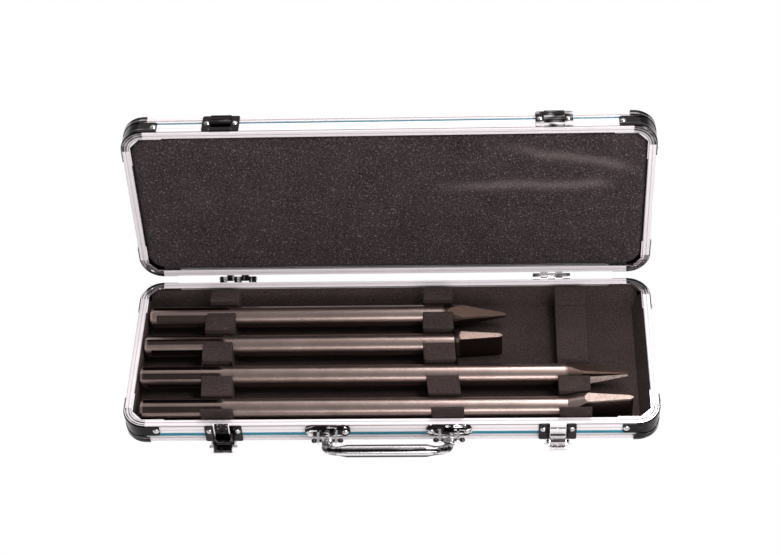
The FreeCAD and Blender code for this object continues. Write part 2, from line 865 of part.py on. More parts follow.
for side, sign in SIDES.items():
    middle = f"{sign}latch_offset"

    def out(distance):
        return f"-(half_width + {distance})"

    plate = new_body(f"latch_{side}_plate")
    outline = rounded(
        f"{middle} - latch_plate_width / 2",
        f"{middle} + latch_plate_width / 2",
        "latch_plate_bottom",
        "(base_depth - latch_plate_drop)",
        "plate_rounding",
    )
    front_view(plate, outline, "0", "fitting_plate")
    ear = [
        (out("fitting_plate / 2"), "lever_pivot_height - latch_eye_radius"),
        (out("lever_pivot_out"), "lever_pivot_height - latch_eye_radius"),
        (out("lever_pivot_out"), "lever_pivot_height + latch_eye_radius"),
        (out("ear_waist"), "lever_pivot_height + latch_eye_radius + edge_break"),
        (out("ear_neck"), "latch_plate_top - plate_rounding"),
        (out("fitting_plate / 2"), "latch_plate_top - plate_rounding"),
    ]
    for ear_side in ("-", "+"):
        lift = f"{middle} {ear_side} (latch_ear_gap + latch_ear_thickness) / 2"
        pad(plate, "YZ_Plane", ear, "latch_ear_thickness", lift=lift, midplane=True)
        pad_disc(
            plate,
            "YZ_Plane",
            "lever_y",
            "lever_pivot_height",
            "latch_eye_radius",
            "latch_ear_thickness",
            lift,
            midplane=True,
        )
    bore(
        plate,
        "YZ_Plane",
        "lever_y",
        "lever_pivot_height",
        "latch_pin_radius + running_fit",
        "latch_plate_width",
        middle,
    )
    node(plate, plate.Name)

    lever = new_body(f"latch_{side}_lever")
    tab_under = "lever_pivot_height - lever_tab_thickness / 2"
    tab_top = "lever_pivot_height + lever_tab_thickness / 2"
    web = [
        (out("lever_pivot_out"), "lever_pivot_height - lever_eye"),
        (out("lever_pivot_out + lever_tab_start"), "lever_pivot_height - lever_tab_thickness / 2"),
        (out("lever_pivot_out + lever_tab_start + lever_tab_lap"), tab_under),
        (out("lever_pivot_out + lever_tab_start + lever_tab_lap"), tab_top),
        (out("lever_pivot_out + lever_eye"), "hook_z"),
        (out("lever_pivot_out - lever_eye"), "hook_z"),
        (out("lever_pivot_out - lever_eye"), "lever_pivot_height"),
    ]
    for web_side in ("-", "+"):
        lift = f"{middle} {web_side} (lever_web_gap + lever_web_thickness) / 2"
        pad(lever, "YZ_Plane", web, "lever_web_thickness", lift=lift, midplane=True)
        for up in ("lever_pivot_height", "hook_z"):
            pad_disc(
                lever,
                "YZ_Plane",
                "lever_y",
                up,
                "lever_eye",
                "lever_web_thickness",
                lift,
                midplane=True,
            )
    wing = [
        (out("lever_pivot_out"), "lever_pivot_height - lever_eye"),
        (out("lever_pivot_out + lever_tab_start + lever_tab_lap"), tab_under),
        (out("lever_pivot_out + lever_tab_start + lever_tab_lap"), tab_top),
        (out("lever_pivot_out"), "lever_pivot_height + lever_eye"),
    ]
    for wing_side in ("-", "+"):
        lift = f"{middle} {wing_side} (lever_wing_gap + lever_wing_thickness) / 2"
        pad(lever, "YZ_Plane", wing, "lever_wing_thickness", lift=lift, midplane=True)
        pad_disc(
            lever,
            "YZ_Plane",
            "lever_y",
            "lever_pivot_height",
            "lever_eye",
            "lever_wing_thickness",
            lift,
            midplane=True,
        )
    tab = [
        (f"{middle} - lever_tab_width / 2", out("lever_pivot_out + lever_tab_start")),
        (
            f"{middle} - lever_tab_width / 2",
            out("lever_pivot_out + lever_tab_end - lever_tab_rounding"),
            (
                f"{middle} - lever_tab_width / 2 + lever_tab_rounding",
                out("lever_pivot_out + lever_tab_end - lever_tab_rounding"),
            ),
        ),
        (
            f"{middle} - lever_tab_width / 2 + lever_tab_rounding",
            out("lever_pivot_out + lever_tab_end"),
        ),
        (
            f"{middle} + lever_tab_width / 2 - lever_tab_rounding",
            out("lever_pivot_out + lever_tab_end"),
            (
                f"{middle} + lever_tab_width / 2 - lever_tab_rounding",
                out("lever_pivot_out + lever_tab_end - lever_tab_rounding"),
            ),
        ),
        (
            f"{middle} + lever_tab_width / 2",
            out("lever_pivot_out + lever_tab_end - lever_tab_rounding"),
        ),
        (f"{middle} + lever_tab_width / 2", out("lever_pivot_out + lever_tab_start")),
    ]
    pad(
        lever,
        "XY_Plane",
        tab,
        "lever_tab_thickness",
        lift="lever_pivot_height",
        midplane=True,
    )
    frame_top = "lever_pivot_height + lever_tab_thickness / 2"
    for width, kind, depth, extra in (
        ("lever_frame_width", "Pad", "lever_frame_height", "0"),
        ("lever_slot_width", "Pocket", "lever_frame_height", "1"),
    ):
        sketch = new_sketch(
            lever, "XY_Plane", frame_top if kind == "Pad" else f"{frame_top} + lever_frame_height"
        )
        draw_loop(
            sketch,
            rounded(
                f"{middle} - {width} / 2",
                f"{middle} + {width} / 2",
                out(f"lever_pivot_out + lever_tab_end - lever_frame_setback - {extra}"),
                out(f"lever_pivot_out + lever_tab_start + {extra}"),
                "edge_break",
            ),
        )
        feature(lever, kind, sketch, depth)
    for bump_side in ("-", "+"):
        pad_disc(
            lever,
            "XY_Plane",
            f"{middle} {bump_side} lever_slot_width / 4",
            out("lever_pivot_out + (lever_tab_start + lever_tab_end - lever_frame_setback) / 2"),
            "lever_bump_radius",
            "lever_frame_height",
            frame_top,
        )
    bore(
        lever,
        "YZ_Plane",
        "lever_y",
        "lever_pivot_height",
        "latch_pin_radius + running_fit",
        "latch_plate_width",
        middle,
    )
    pad_disc(
        lever,
        "YZ_Plane",
        "lever_y",
        "hook_z",
        "latch_pin_radius",
        "lever_web_gap + lever_web_thickness",
        middle,
        midplane=True,
    )
    node(lever, lever.Name)

    hook = new_body(f"latch_{side}_hook")
    for foot, width in (("hook_z", "hook_neck"), ("hook_z + hook_neck_height", "hook_width")):
        reach = [
            (out("lever_pivot_out + hook_thickness / 2"), foot),
            (out("lever_pivot_out + hook_thickness / 2"), "claw_z + claw_thickness"),
            (out("lever_pivot_out - hook_claw"), "claw_z + claw_thickness"),
            (out("lever_pivot_out - hook_claw"), "claw_z"),
            (out("lever_pivot_out - hook_thickness / 2"), "claw_z"),
            (out("lever_pivot_out - hook_thickness / 2"), foot),
        ]
        pad(hook, "YZ_Plane", reach, width, lift=middle, midplane=True)
    pad_disc(
        hook,
        "YZ_Plane",
        "lever_y",
        "hook_z",
        "hook_barrel_radius",
        "hook_neck",
        middle,
        midplane=True,
    )
    dimple = new_sketch(hook, "XZ_Plane", "-lever_y + hook_thickness / 2")
    draw_circle(dimple, middle, "claw_z - hook_dimple_drop", "hook_dimple_radius")
    feature(hook, "Pocket", dimple, "hook_thickness / 2")
    bore(
        hook,
        "YZ_Plane",
        "lever_y",
        "hook_z",
        "latch_pin_radius + running_fit",
        "latch_plate_width",
        middle,
    )
    node(hook, hook.Name)

    keeper = new_body(f"latch_{side}_keeper")
    outline = rounded(
        f"{middle} - latch_plate_width / 2",
        f"{middle} + latch_plate_width / 2",
        "(lid_depth - keeper_low - keeper_height)",
        "(lid_depth - keeper_low)",
        "plate_rounding",
    )
    front_view(keeper, outline, "0", "fitting_plate", "lid")
    bar = [
        (f"{middle} - keeper_box_width / 2", "lid_depth - catch_bar_low - catch_bar_height"),
        (f"{middle} + keeper_box_width / 2", "lid_depth - catch_bar_low - catch_bar_height"),
        (f"{middle} + keeper_box_width / 2", "lid_depth - catch_bar_low"),
        (f"{middle} - keeper_box_width / 2", "lid_depth - catch_bar_low"),
    ]
    front_view(keeper, bar, "fitting_plate", "catch_bar_out", "lid")
    box_top = "lid_depth - keeper_box_low"
    surface = [
        ("half_width", "keeper_box_foot"),
        ("half_width + fitting_plate + keeper_box_out - edge_break", "keeper_box_foot"),
        ("half_width + fitting_plate + keeper_box_out", "keeper_box_foot + edge_break"),
    ]
    for ridge in range(3):
        middle_z = f"keeper_box_foot + (keeper_box_top - keeper_box_foot) * {2 * ridge + 1} / 6"
        surface += [
            (
                "half_width + fitting_plate + keeper_box_out",
                f"{middle_z} - keeper_ridge_depth",
            ),
            (
                "half_width + fitting_plate + keeper_box_out - keeper_ridge_depth",
                middle_z,
            ),
            (
                "half_width + fitting_plate + keeper_box_out",
                f"{middle_z} + keeper_ridge_depth",
            ),
        ]
    surface += [
        ("half_width + fitting_plate + keeper_box_out", "keeper_box_top - edge_break"),
        ("half_width + fitting_plate + keeper_box_out - edge_break", "keeper_box_top"),
        ("half_width", "keeper_box_top"),
    ]
    pad(keeper, "YZ_Plane", surface, "keeper_box_width", lift=middle, midplane=True)
    node(on_lid(keeper), keeper.Name)

round_pins(
    "latch_pivot_pins",
    [
        (
            f"{sign}latch_offset",
            "lever_y",
            "lever_pivot_height",
            "latch_pin_radius",
            "lever_wing_gap + 2 * lever_wing_thickness",
            "",
        )
        for sign in SIDES.values()
    ],
)

# ---------------------------------------------------------------- carrying handle

for side, sign in SIDES.items():
    middle = f"(handle_centre + {sign or '+'}handle_span / 2)"
    bracket = new_body(f"handle_{side}_bracket")
    outline = rounded(
        f"{middle} - bracket_length / 2",
        f"{middle} + bracket_length / 2",
        "(bracket_z - bracket_height / 2)",
        "(bracket_z + bracket_height / 2)",
        "bracket_rounding",
    )
    plate = front_view(bracket, outline, "0", "bracket_thickness")
    document.recompute()
    face_y = -number("half_width + bracket_thickness")
    rim = [
        f"Edge{i}"
        for i, edge in enumerate(plate.Shape.Edges, start=1)
        if all(abs(v.Point.y - face_y) < 1e-4 for v in edge.Vertexes)
    ]
    soft = bracket.newObject("PartDesign::Fillet", "bracket_fillet")
    soft.Base = (plate, rim)
    bind(soft, Radius="bracket_break")
    lug = [
        (out("bracket_thickness / 2"), "handle_pivot_height - lug_eye_radius"),
        (out("handle_pivot_out"), "handle_pivot_height - lug_eye_radius"),
        (out("handle_pivot_out + lug_eye_radius * 0.6"), "handle_pivot_height + lug_eye_radius * 0.8"),
        (out("bracket_thickness"), "bracket_z + bracket_height / 3"),
        (out("bracket_thickness / 2"), "bracket_z + bracket_height / 3"),
    ]
    for lug_side in ("-", "+"):
        lift = f"{middle} {lug_side} lug_spacing / 2"
        pad(bracket, "YZ_Plane", lug, "lug_thickness", lift=lift, midplane=True)
        pad_disc(
            bracket,
            "YZ_Plane",
            "handle_pivot_y",
            "handle_pivot_height",
            "lug_eye_radius",
            "lug_thickness",
            lift,
            midplane=True,
        )
    bore(
        bracket,
        "YZ_Plane",
        "handle_pivot_y",
        "handle_pivot_height",
        "handle_pin_radius + running_fit",
        "bracket_length",
        middle,
    )
    node(bracket, bracket.Name)
round_pins(
    "handle_pins",
    [
        (
            f"(handle_centre + {sign or '+'}handle_span / 2)",
            "handle_pivot_y",
            "handle_pivot_height",
            "handle_pin_radius",
            "lug_spacing + lug_thickness + 2 * handle_pin_ball",
            "handle_pin_ball",
        )
        for sign in SIDES.values()
    ],
)

# the handle, made lying flat with its pin axis on X, then raised about that axis
handle = new_body("handle")
path = new_sketch(handle, "XY_Plane")
draw_loop(
    path,
    [
        ("-handle_span / 2", "0"),
        (
            "-handle_span / 2",
            "handle_bend - handle_reach",
            ("handle_bend - handle_span / 2", "handle_bend - handle_reach"),
        ),
        ("handle_bend - handle_span / 2", "-handle_reach"),
        (
            "handle_span / 2 - handle_bend",
            "-handle_reach",
            ("handle_span / 2 - handle_bend", "handle_bend - handle_reach"),
        ),
        ("handle_span / 2", "handle_bend - handle_reach"),
        ("handle_span / 2", "0"),
    ],
    closed=False,
)
section = new_sketch(handle, "XZ_Plane")
draw_circle(section, "-handle_span / 2", "0", "handle_arm_radius")
loop = handle.newObject("PartDesign::AdditivePipe", "handle_pipe")
loop.Profile = section
loop.Spine = (path, [f"Edge{i}" for i in range(1, 6)])
grip = new_sketch(handle, "XY_Plane")
bind(grip, **{"AttachmentOffset.Base.y": "-handle_reach"})
draw_loop(
    grip,
    [
        ("-handle_grip_length / 2 - handle_grip_taper", "0"),
        ("-handle_grip_length / 2 - handle_grip_taper", "handle_arm_radius - handle_grip_lap"),
        ("-handle_grip_length / 2", "handle_grip_radius"),
        ("handle_grip_length / 2", "handle_grip_radius"),
        ("handle_grip_length / 2 + handle_grip_taper", "handle_arm_radius - handle_grip_lap"),
        ("handle_grip_length / 2 + handle_grip_taper", "0"),
    ],
)
swell = handle.newObject("PartDesign::Revolution", "handle_grip")
swell.Profile = grip
swell.ReferenceAxis = (grip, ["H_Axis"])
for sign in SIDES.values():
    lift = f"{sign}handle_span / 2"
    pad_disc(
        handle, "YZ_Plane", "0", "0", "handle_eye_radius", "handle_eye_width", lift, midplane=True
    )
bore(handle, "YZ_Plane", "0", "0", "handle_pin_radius + running_fit", "2 * handle_span")
seat(
    handle,
    "handle_centre",
    "handle_pivot_y",
    "handle_pivot_height",
    Rotation(Vector(-1, 0, 0), number("handle_rise")),
)
handle.setExpression("Placement.Rotation.Angle", bound("handle_rise"))
node(handle, "handle")

# ---------------------------------------------------------------- rivets of the fittings


def paired(middle, spacing):
    return [f"{middle} - {spacing} / 2", f"{middle} + {spacing} / 2"]


base_seats, lid_seats = [], corner_rivet_seats("lid")
for sign in SIDES.values():
    for x in paired(f"{sign}hinge_offset", "leaf_rivet_spacing"):
        leaf = ("(half_width + leaf_thickness)", "leaf_rivet_height")
        base_seats.append((x, leaf[0], leaf[1], "+y"))
        lid_seats.append((x, f"-{leaf[0]}", leaf[1], "-y"))
    for x in paired(f"{sign}latch_offset", "latch_rivet_spacing"):
        base_seats.append((x, "-(half_width + fitting_plate)", "latch_rivet_height", "-y"))
        lid_seats.append(
            (x, "(half_width + fitting_plate)", "lid_depth - keeper_rivet_height", "+y")
        )
    for x in paired(f"(handle_centre + {sign or '+'}handle_span / 2)", "bracket_rivet_spacing"):
        base_seats.append((x, "-(half_width + bracket_thickness)", "bracket_z", "-y"))
rivets("base_fitting_rivets", stay, base_seats)
rivets("lid_rivets", on_lid, lid_seats)

# ---------------------------------------------------------------- foam

floor_left = "liner_face + foam_fit - half_length"
floor_right = "half_length - liner_back - right_liner - floor_end_gap"
floor_front = "front_face + foam_fit - half_width"
floor_back = "half_width - liner_back - back_liner_foot - foam_fit"
floor_arc = "corner_radius - liner_face - foam_fit"
floor = new_body("base_floor_foam")
pad(
    floor,
    "XY_Plane",
    [
        (floor_left, floor_back),
        (floor_left, ARC_Y, (ARC_X, ARC_Y)),
        (ARC_X, f"{ARC_Y} - ({floor_arc})"),
        (ARC_X, floor_front),
        (floor_right, floor_front),
        (floor_right, floor_back),
    ],
    "floor_foam",
    lift="panel_thickness",
)
node(floor, "base_floor_foam")

walls_foam = new_body("wall_liner")
left_arc = ("corner_radius - half_length", "corner_radius - half_width")
right_arc = ("half_length - corner_radius", "corner_radius - half_width")
liner = [
    ("liner_back - half_length", "half_width - corner_radius"),
    ("liner_back - half_length", left_arc[1], left_arc),
    (left_arc[0], "liner_back - half_width"),
    (right_arc[0], "liner_back - half_width", right_arc),
    ("half_length - liner_back", right_arc[1]),
    ("half_length - liner_back", "half_width - corner_radius"),
    ("half_length - liner_back - right_liner", "half_width - corner_radius"),
    ("half_length - liner_back - right_liner", "front_face - half_width"),
    (ARC_X, "front_face - half_width"),
    (ARC_X, "liner_face - half_width", left_arc),
    ("liner_face - half_length", ARC_Y),
    ("liner_face - half_length", "half_width - corner_radius"),
]
pad(walls_foam, "XY_Plane", liner, "liner_top - panel_thickness", lift="panel_thickness")
wedge = new_body("back_wedge")
pad(
    wedge,
    "YZ_Plane",
    [
        ("half_width - liner_back - back_liner_foot", "panel_thickness"),
        ("half_width - liner_back", "panel_thickness"),
        ("half_width - liner_back", "liner_top"),
        ("half_width - liner_back - back_liner_top", "liner_top"),
    ],
    "case_length - 2 * corner_radius",
    midplane=True,
)
node(group("base_wall_foam", [walls_foam, wedge]), "base_wall_foam")


def rack(place, slots, back, skew):
    """Block with round-bottomed slots that open upward, its plan skewed along +X by station.

    The back edge and the skew are lists of (across, up) and (across, shift along X).
    """
    front = "front_face - half_width + foam_fit"
    corners = [(front, "floor_top")] + back
    for slot in slots:
        corners += [
            (f"{slot} + slot_radius", "rack_top"),
            (f"{slot} + slot_radius", "chisel_z", (slot, "chisel_z")),
            (slot, "chisel_z - slot_radius", (slot, "chisel_z")),
            (f"{slot} - slot_radius", "chisel_z"),
            (f"{slot} - slot_radius", "rack_top"),
        ]
    corners[-1] = (f"{slots[-1]} - slot_radius", "rack_top + front_block_rise")
    corners.append((front, "rack_top + front_block_rise"))
    body = new_body(f"foam_{place}")
    pad(body, "YZ_Plane", corners, "2 * rack_width", lift=place, midplane=True)
    sides = new_sketch(body, "XY_Plane")
    for sign in ("-", "+"):
        edge = [(f"{place} + {shift} {sign} rack_width / 2", across) for across, shift in skew]
        beyond = f"{place} {sign} 2 * rack_width"
        draw_loop(sides, edge + [(beyond, skew[-1][0]), (beyond, skew[0][0])])
    feature(body, "Pocket", sides, "4 * base_depth", midplane=True)
    return body


slots = ["slot_1", "slot_2", "slot_3", "slot_4"]
rack_back = [
    ("half_width - rack_end_margin", "floor_top"),
    ("half_width - rack_end_margin + rack_back_lean", "floor_top + spacer_back_height"),
    ("half_width - rack_end_margin + rack_back_lean", "rack_top"),
]
for place in ("rack_left", "rack_middle"):
    bends = [
        ("half_width", f"{place}_skew_back"),
        ("slot_2", f"{place}_skew"),
        ("-half_width", f"{place}_skew_front"),
    ]
    body = rack(place, slots, rack_back, bends)
    node(body, body.Name)

# the right rack's front slot is open down to the floor, clear of the long blade
lip = "slot_3 + slot_radius + rack_lip"
body = rack(
    "rack_right",
    ["slot_3", "slot_4"],
    [(lip, "floor_top"), (lip, "rack_top")],
    [("half_width", "0"), ("-half_width", "0")],
)
blade_slot = new_sketch(body, "YZ_Plane", "rack_right")
draw_loop(
    blade_slot,
    [
        ("slot_4 - slot_radius", "floor_top - cut_over"),
        ("slot_4 + slot_radius", "floor_top - cut_over"),
        ("slot_4 + slot_radius", "chisel_z"),
        ("slot_4 - slot_radius", "chisel_z"),
    ],
)
feature(body, "Pocket", blade_slot, "2 * rack_width", midplane=True)
body.AllowCompound = True
node(body, body.Name)
spacer = new_body("foam_spacer_right")
pad(
    spacer,
    "YZ_Plane",
    [
        (f"{lip} + foam_fit", "floor_top"),
        ("half_width - rack_end_margin", "floor_top"),
        ("half_width - rack_end_margin + rack_back_lean", "floor_top + spacer_back_height"),
        ("half_width - rack_end_margin + rack_back_lean", "spacer_top + spacer_step"),
        ("half_width - spacer_step_inset", "spacer_top + spacer_step"),
        ("half_width - spacer_step_inset - spacer_step", "spacer_top"),
        (f"{lip} + foam_fit + spacer_step", "spacer_top"),
        (f"{lip} + foam_fit", "spacer_top - spacer_step"),
    ],
    "rack_width",
    lift="rack_right",
    midplane=True,
)
node(spacer, "foam_spacer_right")

lid_foam = new_body("lid_foam")
pad(
    lid_foam,
    "XY_Plane",
    rounded(
        "-(half_length - lid_foam_inset)",
        "(half_length - lid_foam_inset)",
        "-(half_width - lid_foam_inset)",
        "(half_width - lid_foam_inset)",
        "lid_foam_rounding",
    ),
    "lid_depth - lid_foam_drop - panel_thickness",
    lift="panel_thickness",
)
node(on_lid(lid_foam), "lid_foam")

# ---------------------------------------------------------------- chisels


def turned_shank(body, profile):
    """Revolve a half profile about the chisel's long axis."""
    half = new_sketch(body, "XY_Plane")
    draw_loop(half, [("0", "0"), ("0", "shank_radius - shank_chamfer")] + profile)
    turned = body.newObject("PartDesign::Revolution", f"{body.Name}_shank")
    turned.Profile = half
    turned.ReferenceAxis = (half, ["H_Axis"])


def cut_both_sides(body, plane, edge):
    """Cut away what lies outside a line and outside its mirror image across the long axis."""
    sketch = new_sketch(body, plane)
    last = edge[-1][0]
    for side in ("", "-"):
        inner = [(x, f"{side}({y})") for x, y in edge]
        outer = [(last, f"{side}2 * shank_radius"), (edge[0][0], f"{side}2 * shank_radius")]
        draw_loop(sketch, inner + outer)
    feature(body, "Pocket", sketch, "4 * shank_diameter", midplane=True)


def point(body, total):
    """Turned shank drawn down to a blunt four-sided point."""
    start = f"{total} - point_length"
    turned_shank(
        body,
        [
            ("shank_chamfer", "shank_radius"),
            (f"{start} + point_shoulder", "shank_radius"),
            (total, "point_tip_corner"),
            (total, "0"),
        ],
    )
    for plane in ("XY_Plane", "XZ_Plane"):
        taper = [(start, "shank_radius"), (total, "point_tip / 2")]
        cut_both_sides(body, plane, taper + [(f"{total} + cut_over", "point_tip / 4")])


def blade(body, total, size):
    """Shank flared to the blade's height, flattened on both sides and ground to an edge."""
    start = f"{total} - blade_length"
    neck = f"{start} - {size}_blade_neck"
    flare = f"{size}_blade_height / 2 + blade_flare / 2"
    turned_shank(
        body,
        [
            ("shank_chamfer", "shank_radius"),
            (neck, "shank_radius"),
            (f"{start} + blade_flare", flare),
            (total, flare),
            (total, "0"),
        ],
    )
    sides = [
        (neck, "shank_radius"),
        (start, "blade_root / 2"),
        (f"{total} - blade_bevel", "blade_end / 2"),
        (total, "blade_edge / 2"),
        (f"{total} + cut_over", "blade_edge / 2"),
    ]
    cut_both_sides(body, "XY_Plane", sides)
    half_height = f"{size}_blade_height / 2"
    height = [(neck, half_height), (f"{total} + cut_over", half_height)]
    cut_both_sides(body, "XZ_Plane", height)


def radial_cut(body, angle, width, outline):
    """Cut a groove whose outline is drawn in the half-plane at an angle about the long axis."""
    sketch = new_sketch(
        body, "XY_Plane", tilt=Placement(Vector(0, 0, 0), Rotation(Vector(1, 0, 0), number(angle)))
    )
    sketch.setExpression("AttachmentOffset.Rotation.Angle", bound(angle))
    draw_loop(sketch, outline)
    return feature(body, "Pocket", sketch, width, midplane=True)


def chisel(size, tip, slot, roll, turn):
    """Slotted shank and its working end, made along +X from the driven end, then laid in a slot.

    The roll turns the whole chisel in its slot; the turn shifts the grooves about the blade.
    """
    kind = f"{size}_{tip}"
    body = new_body(f"{kind}_chisel")
    total = f"(case_length - {kind}_spare)"
    if tip == "point":
        point(body, total)
    else:
        blade(body, total, size)
    floor = "shank_radius - lock_groove_depth"
    lock = [
        ("lock_groove_start", floor),
        ("lock_groove_end", floor),
        ("lock_groove_end + lock_groove_depth", "shank_radius + cut_over"),
        ("lock_groove_start - lock_groove_depth / 2", "shank_radius + cut_over"),
    ]
    for angle in (turn, f"180 + {turn}"):
        radial_cut(body, angle, "lock_groove_width", lock)
    key = [
        ("-cut_over", "shank_radius - keyway_depth"),
        ("keyway_length - keyway_runout", "shank_radius - keyway_depth"),
        ("keyway_length", "shank_radius + keyway_end_rise"),
        ("keyway_length", "shank_radius + 2 * cut_over"),
        ("-cut_over", "shank_radius + 2 * cut_over"),
    ]
    for angle in (f"{turn} - keyway_splay", f"{turn} + keyway_splay - 180", f"{turn} + 90"):
        radial_cut(body, angle, "keyway_width", key)
    start = f"liner_face + {kind}_gap - half_length"
    seat(body, start, slot, "chisel_z", Rotation(Vector(1, 0, 0), 180 + number(roll)))
    body.setExpression("Placement.Rotation.Angle", bound(f"180 + {roll}"))
    node(body, body.Name)


chisel("short", "point", "slot_1", "short_point_roll", "short_point_turn")
chisel("short", "flat", "slot_2", "0", "short_flat_turn")
chisel("long", "point", "slot_3", "long_point_roll", "long_point_turn")
chisel("long", "flat", "slot_4", "0", "long_flat_turn")

# ---------------------------------------------------------------- check and export

document.recompute()
for thing in document.Objects:
    if "Invalid" in thing.State or "Error" in thing.State:
        raise RuntimeError(f"{thing.Label} did not recompute: {thing.State}")
os.makedirs("parts", exist_ok=True)
for thing in nodes:
    if thing.Shape.isNull() or not thing.Shape.isValid() or not thing.Shape.Solids:
        raise RuntimeError(f"{thing.Label} has no valid solid")
    thing.Shape.exportStep(f"parts/{thing.Label}.step")
print(len(nodes), "sub-parts,", sum(len(thing.Shape.Solids) for thing in nodes), "solids")
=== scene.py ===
import math

import bmesh
import bpy
import numpy as np
from mathutils import Matrix, Vector


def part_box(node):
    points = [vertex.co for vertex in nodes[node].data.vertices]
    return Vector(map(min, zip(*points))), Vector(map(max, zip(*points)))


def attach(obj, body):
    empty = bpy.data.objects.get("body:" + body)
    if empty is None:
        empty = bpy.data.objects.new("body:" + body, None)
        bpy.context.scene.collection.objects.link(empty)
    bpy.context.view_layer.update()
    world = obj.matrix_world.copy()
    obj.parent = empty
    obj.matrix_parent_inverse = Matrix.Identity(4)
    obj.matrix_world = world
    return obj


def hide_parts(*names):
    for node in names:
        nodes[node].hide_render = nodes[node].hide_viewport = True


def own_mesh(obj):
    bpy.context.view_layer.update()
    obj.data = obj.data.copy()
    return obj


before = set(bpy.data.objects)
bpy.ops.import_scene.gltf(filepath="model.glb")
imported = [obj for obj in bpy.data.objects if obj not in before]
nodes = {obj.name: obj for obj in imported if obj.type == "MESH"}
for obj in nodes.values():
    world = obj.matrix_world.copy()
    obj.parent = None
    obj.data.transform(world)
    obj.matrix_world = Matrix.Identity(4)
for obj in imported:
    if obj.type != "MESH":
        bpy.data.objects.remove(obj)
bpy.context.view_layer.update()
scene = bpy.context.scene
scene.view_settings.view_transform = "Standard"

# ------------------------------------------------------------------ directions and levels

# X runs to the right, Y to the back and Z up. LID_UP runs up the open lid from its hinge, and
# LID_IN from its outer face to its rim.

MM = 0.001
UP = (0.0, 0.0, 1.0)
ALONG_X, ALONG_Y = (1.0, 0.0, 0.0), (0.0, 1.0, 0.0)
CAMERA_TURN, CAMERA_RISE, CAMERA_ROLL = (math.radians(a) for a in (4.18, 47.9, -3.7))
LID_LEAN = math.radians(84.0)
LID_UP = Vector((0.0, math.cos(LID_LEAN), math.sin(LID_LEAN)))
LID_IN = Vector((0.0, -math.sin(LID_LEAN), math.cos(LID_LEAN)))


def box_centre(name):
    """The centre of a CAD node's box in metres."""
    return sum(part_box(name), Vector()) / 2


HINGE = box_centre("hinge_pins")
RIM_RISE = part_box("base_front_rim")[1].z
BASE_ORIGIN = (0.0, 0.0, RIM_RISE)
LID_ORIGIN = HINGE - (HINGE.z - RIM_RISE) * LID_IN

# ------------------------------------------------------------------ finishes


class Value:
    """A shader socket that takes part in Python arithmetic by adding Math nodes."""

    def __init__(self, finish, socket):
        self.finish = finish
        self.socket = socket

    def _math(self, operation, *terms):
        return self.finish.node("Math", *terms, operation=operation)

    def __add__(self, other):
        return self._math("ADD", self, other)

    __radd__ = __add__

    def __sub__(self, other):
        return self._math("SUBTRACT", self, other)

    def __rsub__(self, other):
        return self._math("SUBTRACT", other, self)

    def __mul__(self, other):
        return self._math("MULTIPLY", self, other)

    __rmul__ = __mul__

    def __truediv__(self, other):
        return self._math("DIVIDE", self, other)

    def __rtruediv__(self, other):
        return self._math("DIVIDE", other, self)

    def __abs__(self):
        return self._math("ABSOLUTE", self)

    def root(self):
        return self._math("SQRT", self)

    def or_more(self, other):
        """The larger of this value and another."""
        return self._math("MAXIMUM", self, other)

    def above(self, edge, softness):
        """Rise from 0 to 1 as the value passes an edge, over a stated width."""
        low, high = edge - softness / 2, edge + softness / 2
        return self.finish.node(
            "MapRange", self, low, high, 0.0, 1.0, interpolation_type="SMOOTHSTEP"
        )

    def below(self, edge, softness):
        """Fall from 1 to 0 as the value passes an edge, over a stated width."""
        return 1.0 - self.above(edge, softness)

    def near(self, place, width):
        """A soft bump from 0 to 1 and back about a place: exp(-(d / width)^2)."""
        away = (self - place) / width
        return self._math("POWER", math.e, 0.0 - away * away)

    def lines(self, *lines):
        """The sum of soft bumps, each given by its place, half width and strength."""
        return sum(self.near(place, width) * strength for place, width, strength in lines)


